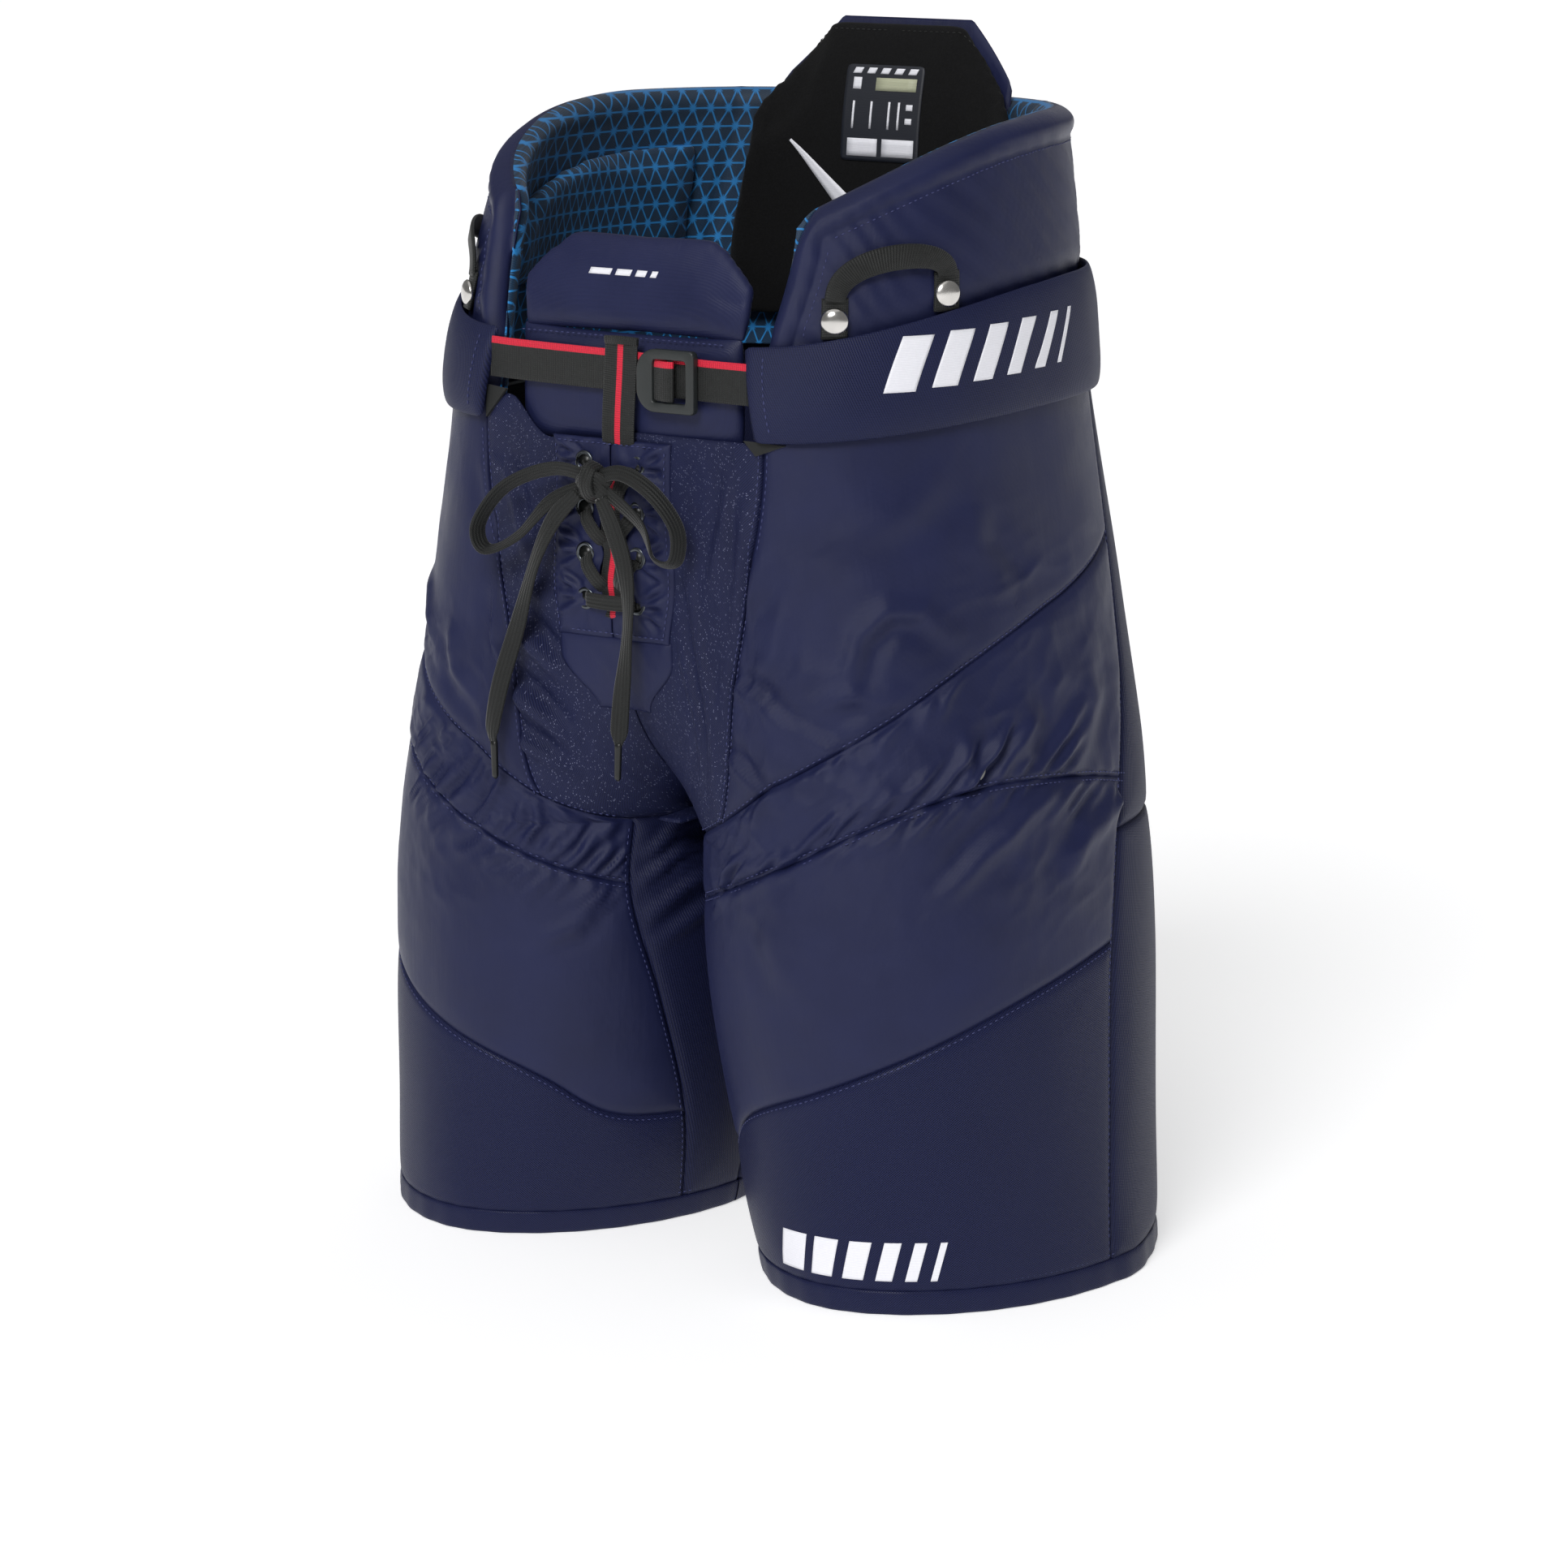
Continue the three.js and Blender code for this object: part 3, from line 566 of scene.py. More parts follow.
def plump(obj, voxel=0.0045, cap=0.004):
    """Swells a closed pad as cloth under pressure, then keeps the result."""
    scene = bpy.context.scene
    bpy.context.view_layer.objects.active = obj
    start = obj.modifiers.new("Voxels", "REMESH")
    start.mode, start.voxel_size = "VOXEL", voxel
    bpy.context.view_layer.update()
    evaluated = obj.evaluated_get(bpy.context.evaluated_depsgraph_get())
    mesh = bpy.data.meshes.new_from_object(evaluated)
    obj.modifiers.clear()
    old = obj.data
    mesh.materials.clear()
    for material in old.materials:
        mesh.materials.append(material)
    obj.data = mesh
    rest = np.array([v.co for v in mesh.vertices])
    cloth = obj.modifiers.new("Swell", "CLOTH")
    cloth.settings.quality = 4
    cloth.settings.use_pressure = True
    cloth.settings.uniform_pressure_force = sizes().sim_pressure
    cloth.settings.effector_weights.gravity = 0
    cloth.point_cache.frame_start, cloth.point_cache.frame_end = 1, sizes().sim_frames
    for step in range(1, sizes().sim_frames + 1):
        scene.frame_set(step)
    evaluated = obj.evaluated_get(bpy.context.evaluated_depsgraph_get())
    moved = np.array([v.co for v in evaluated.data.vertices])
    obj.modifiers.remove(cloth)
    scene.frame_set(1)
    shift = moved - rest
    far = np.linalg.norm(shift, axis=1)
    shift *= np.minimum(1, cap / np.maximum(far, 1e-9))[:, None]
    mesh.vertices.foreach_set("co", (rest + shift).astype(np.float32).ravel())
    mesh.update()
    mesh.shade_smooth()
    finer = obj.modifiers.new("Finer", "SUBSURF")
    finer.levels = finer.render_levels = 1
    return obj


def settle(obj):
    """Applies the modifiers of a piece."""
    evaluated = obj.evaluated_get(bpy.context.evaluated_depsgraph_get())
    mesh = bpy.data.meshes.new_from_object(evaluated)
    obj.modifiers.clear()
    obj.data = mesh
    mesh.shade_smooth()
    return obj


def cloth_map(obj):
    """Gives a remeshed pad cloth coordinates again: the arc round the body across, and the height up."""
    settle(obj)
    mesh = obj.data
    co = np.array([v.co for v in mesh.vertices])
    turn = np.arctan2(co[:, 1] - MIDDLE_Y * MM, np.abs(co[:, 0]) - 0.052)
    uv = np.stack([turn * 0.1, co[:, 2]], -1)
    layer = mesh.uv_layers.get("cloth") or mesh.uv_layers.new(name="cloth")
    picks = np.array([loop.vertex_index for loop in mesh.loops])
    layer.data.foreach_set("uv", uv[picks].astype(np.float32).ravel())
    return obj


def lay_on(bm, target, way=(0, 1, 0), gap=0.0003, back=0.03, core=None):
    """Moves each point along a direction, or towards a core, until it lies on another piece."""
    bpy.context.view_layer.update()
    tree = BVHTree.FromObject(target, bpy.context.evaluated_depsgraph_get())
    lost = []
    for v in bm.verts:
        aim = Vector(way) if core is None else core(v.co) - v.co
        aim.normalize()
        hit = tree.ray_cast(v.co - aim * back, aim)[0]
        if hit is None:
            lost.append(v)
        else:
            v.co = hit - aim * gap
    bmesh.ops.delete(bm, geom=lost, context="VERTS")
    return bm


def laid_line(points, target, way=(0, 1, 0), core=None):
    """The points of a line moved onto another piece."""
    bm = bmesh.new()
    for point in points:
        bm.verts.new(point)
    lay_on(bm, target, way, 0.0001, 0.05, core)
    line = np.array([v.co for v in bm.verts])
    bm.free()
    return line


def joined(parts):
    """Several meshes in the making as one."""
    whole = parts[0]
    for bm in parts[1:]:
        mesh = bpy.data.meshes.new("part")
        bm.to_mesh(mesh)
        bm.free()
        whole.from_mesh(mesh)
        bpy.data.meshes.remove(mesh)
    return whole


def patch(corners, columns=8, rows=6):
    """A flat four-sided patch between corners given as (x, y, z) in metres, in order round it."""
    c = np.array(corners, float)

    def place(u, v):
        low = c[0] + (c[1] - c[0]) * u[:, None]
        high = c[3] + (c[2] - c[3]) * u[:, None]
        points = low + (high - low) * v[:, None]
        return points, np.stack([points[:, 0], points[:, 2]], -1)
    return grid_of(columns, rows, place)


def spread(t, k=0.7):
    """Moves even steps closer together at both ends."""
    return t - k * np.sin(2 * np.pi * t) / (2 * np.pi)


def row_y(value):
    """A y given from the middle of the hems, in millimetres, as metres in the frame."""
    return (value + MIDDLE_Y) * MM


# ---- materials -----------------------------------------------------------------------------------
class Finish:
    """A material and short words for its nodes."""

    def __init__(self, name, base, rough, **shader):
        self.material = bpy.data.materials.new(name)
        self.material.use_nodes = True
        self.nodes, self.links = self.material.node_tree.nodes, self.material.node_tree.links
        self.shader = self.nodes["Principled BSDF"]
        self.set(self.shader, {"Base Color": base, "Roughness": rough, **shader})

    def set(self, node, values):
        for key, value in values.items():
            socket = node.inputs[key]
            if hasattr(value, "is_output"):
                self.links.new(value, socket)
            else:
                socket.default_value = value
        return node

    def add(self, kind, values=None, **settings):
        node = self.nodes.new(kind)
        for key, value in settings.items():
            setattr(node, key, value)
        return self.set(node, values or {})

    def math(self, operation, a, b=0.0, c=0.0):
        return self.add("ShaderNodeMath", {0: a, 1: b, 2: c}, operation=operation).outputs[0]

    def place(self, kind="UV"):
        return self.add("ShaderNodeTexCoord").outputs[kind]

    def split(self, vector):
        return self.add("ShaderNodeSeparateXYZ", {0: vector}).outputs

    def noise(self, vector, scale, detail=3.0, rough=0.55, **more):
        return self.add("ShaderNodeTexNoise", {"Vector": vector, "Scale": scale, "Detail": detail,
                                               "Roughness": rough, **more}).outputs[0]

    def stretch(self, vector, scale, turn=0.0):
        return self.add("ShaderNodeMapping", {"Vector": vector, "Scale": scale,
                                              "Rotation": (0, 0, turn)}).outputs[0]

    def span(self, value, low, high, to_low=0.0, to_high=1.0):
        return self.add("ShaderNodeMapRange", {"Value": value, "From Min": low, "From Max": high,
                                               "To Min": to_low, "To Max": to_high}).outputs[0]

    def mix(self, share, a, b):
        node = self.add("ShaderNodeMix", data_type="RGBA")
        self.set(node, {0: share, 6: a, 7: b})
        return node.outputs[2]

    def bump(self, height, depth, before=None, strength=1.0):
        values = {"Height": height, "Distance": depth, "Strength": strength}
        if before is not None:
            values["Normal"] = before
        return self.add("ShaderNodeBump", values).outputs[0]

    def look(self, **values):
        self.set(self.shader, {k.replace("_", " "): v for k, v in values.items()})


def lighter(tone, by):
    return [min(1.0, c * by) for c in tone[:3]] + [1.0]


def weave(f, uv, pitch, lean=0.0):
    """Threads over and under: 0 between threads, 1 on top."""
    x, y, _ = f.split(f.stretch(uv, (1 / pitch,) * 3, lean))
    wave_x = f.math("SINE", f.math("MULTIPLY", x, math.tau))
    wave_y = f.math("SINE", f.math("MULTIPLY", y, math.tau))
    return f.span(f.math("MULTIPLY", wave_x, wave_y), -1, 1)


def make_nylon(name, tone, coords="UV", rough=0.40, sheen=0.06):
    base = paint(tone)
    f = Finish(name, base, rough)
    uv = f.place(coords)
    threads = weave(f, uv, sizes().nylon_pitch, 0.785)
    cloud = f.noise(uv, 22, 4)
    streak = f.noise(f.stretch(uv, (260, 24, 24)), 1.0, 3)
    tone_mix = f.mix(f.span(cloud, 0.3, 0.7), lighter(base, 0.86), lighter(base, 1.13))
    # Painted highlight: the tops of the weave's threads are lightened.
    tone_mix = f.mix(f.span(threads, 0, 1, 0.0, 0.22), tone_mix, lighter(base, 1.55))
    small = f.bump(threads, 0.00010, strength=0.7)
    rub = f.bump(streak, 0.0004, small, 0.35)
    crease = f.add("ShaderNodeTexVoronoi", {"Vector": f.stretch(uv, (1, 0.6, 1), 0.3), "Scale": 70.0},
                   feature="F1").outputs[0]
    soft = f.bump(crease, 0.0011, rub, 0.22)
    f.look(Base_Color=tone_mix, Normal=soft, Roughness=f.span(cloud, 0.3, 0.7, rough - 0.05, rough + 0.08))
    f.set(f.shader, {"Sheen Weight": sheen, "Sheen Roughness": 0.45, "Sheen Tint": lighter(base, 4),
                     "Specular IOR Level": 0.24})
    return f


def make_mesh_cloth():
    base = paint("mesh_cloth")
    f = Finish("Mesh cloth", base, 0.5)
    uv = f.place()
    pitch = sizes().mesh_pitch
    x, y, _ = f.split(f.stretch(uv, (1 / pitch, 1 / (pitch * 0.9), 1)))
    row = f.math("MULTIPLY", y, math.pi)
    column = f.math("MULTIPLY", x, math.pi)
    dots = f.math("ABSOLUTE", f.math("MULTIPLY", f.math("SINE", f.math("ADD", row, column)),
                                     f.math("SINE", f.math("SUBTRACT", row, column))))
    holes = f.span(dots, 0.35, 0.8)
    cloud = f.noise(uv, 16, 3)
    # Painted shade darkens the holes and painted highlights lighten the threads between them.
    tone = f.mix(holes, lighter(base, 1.9), lighter(base, 0.3))
    tone = f.mix(f.span(cloud, 0.35, 0.75, 0, 0.25), tone, lighter(base, 1.8))
    f.look(Base_Color=tone, Normal=f.bump(f.math("SUBTRACT", 1.0, holes), 0.00035, strength=0.8),
           Roughness=f.span(holes, 0, 1, 0.38, 0.7))
    f.set(f.shader, {"Sheen Weight": 0.05, "Sheen Roughness": 0.4, "Sheen Tint": lighter(base, 4),
                     "Specular IOR Level": 0.2})


def make_knit(name, tone, glitter, lean, coords="UV"):
    base = paint(tone)
    f = Finish(name, base, 0.5)
    uv = f.place(coords)
    pitch = sizes().knit_pitch
    x, y, _ = f.split(f.stretch(uv, (1 / pitch, 1 / (pitch * 0.62), 1), lean))
    rib = f.math("SINE", f.math("MULTIPLY", f.math("ADD", x, f.math("MULTIPLY", y, 0.25)), math.tau))
    row = f.math("SINE", f.math("MULTIPLY", y, math.tau))
    height = f.span(f.math("MULTIPLY_ADD", rib, 0.6, f.math("MULTIPLY", row, 0.4)), -1, 1)
    # Glitter specks, smoother than the knit. Their colour is lifted towards pale blue as a painted glint.
    specks = f.add("ShaderNodeTexVoronoi", {"Vector": uv, "Scale": 1150.0}, feature="F1")
    bright = f.math("GREATER_THAN", f.split(specks.outputs["Color"])[0], 1 - 0.13 * glitter)
    core = f.math("LESS_THAN", specks.outputs["Distance"], 0.35)
    glint_specks = f.math("MULTIPLY", bright, core)
    cloud = f.noise(uv, 26, 3)
    # Painted shade in the grooves of the knit and painted highlights on its ribs.
    tone = f.mix(height, lighter(base, 0.45), lighter(base, 1.75))
    tone = f.mix(f.span(cloud, 0.3, 0.8, 0, 0.3), tone, lighter(base, 1.7))
    tone = f.mix(f.math("MULTIPLY", glint_specks, 0.5 if glitter else 0.0), tone, [0.30, 0.32, 0.50, 1])
    f.look(Base_Color=tone, Normal=f.bump(height, 0.00022, strength=0.8),
           Roughness=f.span(glint_specks, 0, 1, 0.52, 0.25))
    f.set(f.shader, {"Sheen Weight": 0.06, "Sheen Roughness": 0.4, "Sheen Tint": lighter(base, 4),
                     "Specular IOR Level": 0.22})


def make_lining():
    ground, star = paint("lining"), paint("star")
    f = Finish("Lining", ground, 0.62)
    uv = f.place()
    pitch = sizes().star_pitch
    flat = f.stretch(uv, (1 / pitch,) * 3)
    x, y, _ = f.split(flat)
    tall = math.sqrt(0.75)

    def distance(angle, spacing):
        """How far a point lies from the nearest of a family of lines, as a share of the pitch."""
        along = f.math("MULTIPLY_ADD", x, math.cos(angle), f.math("MULTIPLY", y, math.sin(angle)))
        share = f.math("FRACT", f.math("ADD", f.math("DIVIDE", along, spacing), 0.5))
        return f.math("MULTIPLY", f.math("ABSOLUTE", f.math("SUBTRACT", share, 0.5)), spacing)

    def nearest(values):
        return f.math("MINIMUM", f.math("MINIMUM", values[0], values[1]), values[2])

    strong = nearest([distance(math.radians(a), tall) for a in (90, 30, -30)])
    fine = nearest([distance(math.radians(a), 0.5) for a in (0, 60, -60)])
    rows = [f.math("COSINE", f.math("MULTIPLY",
                                    f.math("MULTIPLY_ADD", x, math.cos(a), f.math("MULTIPLY", y, math.sin(a))),
                                    math.tau / tall)) for a in [math.radians(d) for d in (90, 30, -30)]]
    node = f.span(f.math("ADD", f.math("ADD", rows[0], rows[1]), rows[2]), 0.6, 3.0)
    line = f.span(strong, 0.028, 0.055, 1, 0)
    ray = f.math("MULTIPLY", f.span(fine, 0.018, 0.04, 1, 0), f.span(node, 0.05, 0.7))
    drawn = f.math("MAXIMUM", line, ray)
    drawn = f.math("MAXIMUM", drawn, f.span(node, 0.9, 0.97))
    threads = weave(f, uv, 0.0009, 0.5)
    # Painted shade: the printed lines and the blue tint of the threads get darker towards the top.
    low = f.math("MULTIPLY", f.math("SUBTRACT", 1.0, f.span(f.split(f.place("Object"))[2], 0.47, 0.585)), 1.0)
    ink = f.mix(low, lighter(star, 0.62), lighter(star, 1.2))
    ground_tone = f.mix(f.math("MULTIPLY", f.span(threads, 0, 1), f.span(low, 0, 1, 0.12, 0.34)),
                        ground, lighter(star, 0.8))
    tone = f.mix(drawn, ground_tone, ink)
    f.look(Base_Color=tone, Normal=f.bump(threads, 0.00018, strength=0.6))
    f.set(f.shader, {"Sheen Weight": 0.12, "Sheen Roughness": 0.5})


def make_padding():
    base = paint("padding")
    f = Finish("Padding", base, 0.86)
    p = f.place("Object")
    grain = f.noise(p, 900, 3, 0.7)
    cloud = f.noise(p, 26, 3)
    tone = f.mix(f.span(grain, 0.35, 0.7), lighter(base, 0.55), lighter(base, 1.7))
    tone = f.mix(f.span(cloud, 0.3, 0.8, 0, 0.25), tone, lighter(base, 1.5))
    f.look(Base_Color=tone, Normal=f.bump(grain, 0.00035, strength=0.8))
    f.set(f.shader, {"Sheen Weight": 0.03, "Sheen Roughness": 0.6, "Specular IOR Level": 0.18})


def make_webbing(name, stripe_at=None, stripe_half=0.0017, ridge=0.0011):
    """Webbing with cross ribs. Its cloth coordinates are across, from the middle, and along, in metres."""
    base = paint("black")
    f = Finish(name, base, 0.55)
    uv = f.place()
    x, y, _ = f.split(uv)
    rib = f.math("SINE", f.math("MULTIPLY", y, math.tau / ridge))
    knot = f.math("SINE", f.math("MULTIPLY", x, math.tau / (ridge * 0.9)))
    height = f.span(f.math("MULTIPLY_ADD", rib, 0.7, f.math("MULTIPLY", knot, 0.3)), -1, 1)
    cloud = f.noise(uv, 240, 2)
    # Painted shade in the grooves and painted highlights on the ribs, on the black and on the red stripe alike.
    tone = f.mix(height, lighter(base, 0.4), lighter(base, 1.6))
    tone = f.mix(f.span(cloud, 0.4, 0.75, 0, 0.25), tone, lighter(base, 3.0))
    if stripe_at is not None:
        inside = f.math("LESS_THAN", f.math("ABSOLUTE", f.math("SUBTRACT", x, stripe_at)), stripe_half)
        red = f.mix(height, lighter(paint("stripe"), 0.7), lighter(paint("stripe"), 1.2))
        tone = f.mix(inside, tone, red)
    f.look(Base_Color=tone, Normal=f.bump(height, 0.0003, strength=0.9))
    f.set(f.shader, {"Sheen Weight": 0.1, "Specular IOR Level": 0.35})


def make_lace():
    base = paint("black")
    f = Finish("Lace cloth", base, 0.6)
    uv = f.place()
    x, y, _ = f.split(uv)
    ridge = f.math("COSINE", f.math("MULTIPLY", x, math.tau / 0.0018))
    plait = f.math("SINE", f.math("MULTIPLY",
                                  f.math("ADD", y, f.math("MULTIPLY", f.math("ABSOLUTE", x), 0.9)), math.tau / 0.0012))
    height = f.span(f.math("MULTIPLY_ADD", ridge, 0.65, f.math("MULTIPLY", plait, 0.35)), -1, 1)
    # Painted shade between the ridges and painted highlights on them.
    tone = f.mix(height, lighter(base, 0.5), lighter(base, 1.7))
    f.look(Base_Color=tone, Normal=f.bump(height, 0.00035, strength=0.9))
    f.set(f.shader, {"Sheen Weight": 0.2, "Sheen Roughness": 0.4, "Specular IOR Level": 0.35})


def make_plastic(name, tone, rough, grain, scale=700):
    base = paint(tone) if isinstance(tone, str) else tone
    f = Finish(name, base, rough)
    p = f.place("Object")
    dots = f.noise(p, scale, 2)
    wear = f.noise(p, 60, 3)
    f.look(Base_Color=f.mix(f.span(wear, 0.35, 0.7), lighter(base, 0.88), lighter(base, 1.15)),
           Roughness=f.span(wear, 0.3, 0.7, rough - 0.06, rough + 0.08),
           Normal=f.bump(dots, grain, strength=0.6))
    return f


def make_metal(name, base, rough):
    f = make_plastic(name, base, rough, 0.00004, 260)
    f.set(f.shader, {"Metallic": 1.0})


def make_thread(name, tone):
    base = paint(tone)
    f = Finish(name, base, 0.55)
    p = f.place("Object")
    twist = f.noise(p, 1500, 2)
    f.look(Base_Color=f.mix(twist, lighter(base, 0.7), lighter(base, 1.5)), Normal=f.bump(twist, 0.0001))


def make_print(name, tone, thread=0.0008):
    base = paint(tone)
    f = Finish(name, base, 0.5)
    p = f.place("Object")
    z = f.split(f.stretch(p, (1 / thread,) * 3))[2]
    rows = f.math("SINE", f.math("MULTIPLY", z, math.tau))
    grain = f.noise(p, 800, 2)
    height = f.span(f.math("MULTIPLY_ADD", rows, 0.5, grain), -0.5, 1.5)
    # Painted highlight where the rows and grain stand high, painted shade where they lie low.
    f.look(Base_Color=f.mix(height, lighter(base, 0.86), lighter(base, 1.06)),
           Normal=f.bump(height, 0.0001, strength=0.6))


def make_foam():
    base = paint("foam")
    f = Finish("Foam", base, 0.9)
    cells = f.add("ShaderNodeTexVoronoi", {"Vector": f.place("Object"), "Scale": 600.0}, feature="F1").outputs[0]
    f.look(Base_Color=f.mix(cells, lighter(base, 1.15), lighter(base, 0.6)), Normal=f.bump(cells, 0.0005, strength=0.6))


def make_finishes():
    make_nylon("Nylon", "nylon")
    make_nylon("Padded nylon", "nylon", coords="Object", rough=0.42)
    make_mesh_cloth()
    make_knit("Groin knit", "knit", 1.0, 0.9)
    make_knit("Belt knit", "knit", 0.0, 0.0)
    make_knit("Rear knit", "mesh_cloth", 0.0, 0.4)
    make_lining()
    make_padding()
    make_webbing("Webbing")
    make_webbing("Edge webbing", -0.0083, 0.0017)
    make_webbing("Middle webbing", 0.0, 0.0017)
    make_lace()
    make_plastic("Buckle plastic", "buckle", 0.42, 0.00012)
    make_plastic("Black plastic", "black", 0.35, 0.00008)
    make_plastic("Guard plastic", "guard", 0.4, 0.0002, 300)
    make_metal("Rivet metal", [0.72, 0.70, 0.67, 1], 0.22)
    make_metal("Eyelet metal", [0.10, 0.11, 0.12, 1], 0.28)
    make_thread("Thread", "thread")
    make_thread("Black thread", "black")
    make_print("White print", "white")
    make_print("Label cloth", "label")
    make_print("Label block", "beige")
    make_foam()
    f = Finish("Floor", paint("floor"), 0.85)
    dust = f.noise(f.place("Object"), 3.0, 3)
    f.look(Base_Color=f.mix(dust, paint("floor"), lighter(paint("floor"), 0.985)))
    f.set(f.shader, {"Emission Color": (1, 1, 1, 1), "Emission Strength": 0.52})


# ---- operators -----------------------------------------------------------------------------------
class Step(Operator):
    """A building step of the pants"""
    bl_options = {"REGISTER", "UNDO"}


class PANTS_OT_stage(Step):
    """Camera, lights, floor and the materials"""
    bl_idname = "pants.stage"
    bl_label = "Stage and finishes"

    def execute(self, context):
        scene = context.scene
        make_finishes()
        camera = bpy.data.objects.new("Camera", bpy.data.cameras.new("Camera"))
        scene.collection.objects.link(camera)
        scene.camera = camera
        camera.data.lens, camera.data.sensor_width = 112, 36
        target = Vector((0.007, 0.0047, 0.228))
        turn, rise, away = math.radians(35), math.radians(12), 2.5
        back = Vector((math.sin(turn) * math.cos(rise), -math.cos(turn) * math.cos(rise), math.sin(rise)))
        camera.location = target + away * back
        camera.rotation_euler = back.to_track_quat("Z", "Y").to_euler()

        bm = bmesh.new()
        bmesh.ops.create_grid(bm, x_segments=2, y_segments=2, size=40)
        floor = new_piece(bm, "floor", "Floor", shade=False)
        world = bpy.data.worlds.new("Studio")
        scene.world = world
        world.use_nodes = True
        tree = world.node_tree
        sky = tree.nodes["Background"]
        sky.inputs[0].default_value = (1.0, 1.0, 1.0, 1)
        path = tree.nodes.new("ShaderNodeLightPath")
        bright = tree.nodes.new("ShaderNodeMapRange")
        bright.inputs["To Min"].default_value, bright.inputs["To Max"].default_value = 0.20, 1.0
        tree.links.new(path.outputs["Is Camera Ray"], bright.inputs["Value"])
        tree.links.new(bright.outputs[0], sky.inputs[1])
        for name, kind, place, power, spread in (
                ("Key", "SUN", (0.55, -2.0, 1.9), 1.95, 0.45),
                ("Top", "SUN", (-0.2, -0.4, 2.4), 0.40, 1.2),
                ("Rear", "AREA", (-0.8, 2.5, 1.6), 3, 1.4)):
            lamp = bpy.data.lights.new(name, kind)
            lamp.energy = power
            if kind == "SUN":
                lamp.angle = spread
            else:
                lamp.size = spread
            lamp_object = bpy.data.objects.new(name, lamp)
            lamp_object.location = place
            aim = Vector((0, 0, 0.3)) - Vector(place)
            lamp_object.rotation_euler = aim.to_track_quat("-Z", "Y").to_euler()
            scene.collection.objects.link(lamp_object)
        scene.view_settings.view_transform = "Standard"
        return {"FINISHED"}


TO_FRONT = (0, -1, 0)
WEBBING_THICK = 0.0015
LACE_Y = -139.8   # front of the knot, before the shift to the middle
LACE_ENDS = {
    "right": [(-15.5, -1.5, 394.5), (-30, -2.5, 380), (-43, -1, 358), (-55, 0, 325), (-66, 0, 295),
              (-72, 0.5, 272), (-71, 0.5, 262)],
    "left": [(-2.5, -1.8, 393.2), (5, -2, 380), (11, -1, 362), (13, 0, 342), (11.5, 0, 318), (8.5, 0, 294),
             (6.5, 0, 270)],
}
BOWS = {
    "right": [(-7, 0, 402), (-30, -3, 405), (-58, -5, 394), (-75, -5, 374), (-70, -5, 362), (-52, -3, 370),
              (-34, 0, 388), (-9, 0, 399)],
    "left": [(-7, 0, 402), (12, -3, 406), (32, -5, 398), (46, -5, 382), (44, -4, 366), (31, -3, 366),
             (20, 0, 382), (-5, 0, 399)],
}


def shifted(points, y=LACE_Y):
    return [(x, y + dy, z) for x, dy, z in points]


class PANTS_OT_lace_ends(Step):
    """The two hanging ends of the waist lace with their tips"""
    bl_idname = "pants.lace_ends"
    bl_label = "Lace ends"

    def execute(self, context):
        for name, points in LACE_ENDS.items():
            line, long = spline_path(shifted(points), 60)
            t = np.linspace(0, 1, len(line))
            roll = np.radians(24 * np.sin(2.6 * t * math.pi + (0.4 if name == "left" else 2.0)))
            facing = np.stack([np.sin(roll), -np.cos(roll), 0 * t], -1)
            width = sizes().lace_width * (1 - 0.62 * ramp(t, 0.93, 1.0)) * (0.72 + 0.28 * ramp(t, 0.0, 0.12))
            lace = strap(f"lace_end_cloth_{name}", line, facing, width, sizes().lace_thick, "Lace cloth", name,
                         [f"lace_end_{name}"], round_by=0.5, sections=20)
            end = np.array(points[-1]) + (0, LACE_Y, 0)
            way = np.array([-0.5 if name == "left" else 0.5, 0.0, -17.0])
            tip_line, _ = spline_path([end - way * 0.2, end, end + way * 0.5, end + way * 0.97], 14)
            t = np.linspace(0, 1, len(tip_line))
            tip = strap(f"lace_tip_{name}", tip_line, TO_FRONT, (0.0037 - 0.0007 * t) * (1 - 0.45 * (t > 0.99)),
                        0.0030, "Black plastic", name, [f"aglet_{name}"], round_by=0.8, sections=14)
        return {"FINISHED"}


def flare(a, z):
    """A hem stands out at its outer corner."""
    return 2.2 * np.exp(-((a - 8) / 9) ** 2 - (z / 22) ** 2)


# Crumpled areas: angle, height, reach across and up, depth, size of a facet, its stretch and its lean.
HIP_FOLDS = [(-98, 290, 16, 46, 2.6, 20, 1.7, 0.5), (-62, 306, 26, 20, 2.0, 22, 0.8, -0.7),
             (-10, 350, 28, 22, 1.6, 26, 0.8, -0.6), (-60, 390, 40, 40, 0.7, 38, 1.8, 0.1)]
BAND_FOLDS = [(-104, 226, 26, 26, 2.2, 17, 1.5, 0.6), (-60, 260, 26, 22, 1.8, 18, 1.3, 0.5),
              (-8, 300, 40, 40, 2.0, 22, 1.2, 0.3)]
THIGH_FOLDS = [(-94, 190, 26, 20, 1.4, 18, 1.4, 0.5), (-8, 222, 26, 38, 2.0, 22, 1.3, 0.6),
               (-50, 190, 50, 40, 0.8, 36, 1.6, 0.3)]
INNER_FOLDS = [(-160, 200, 40, 26, 1.8, 18, 1.0, 0.3)]
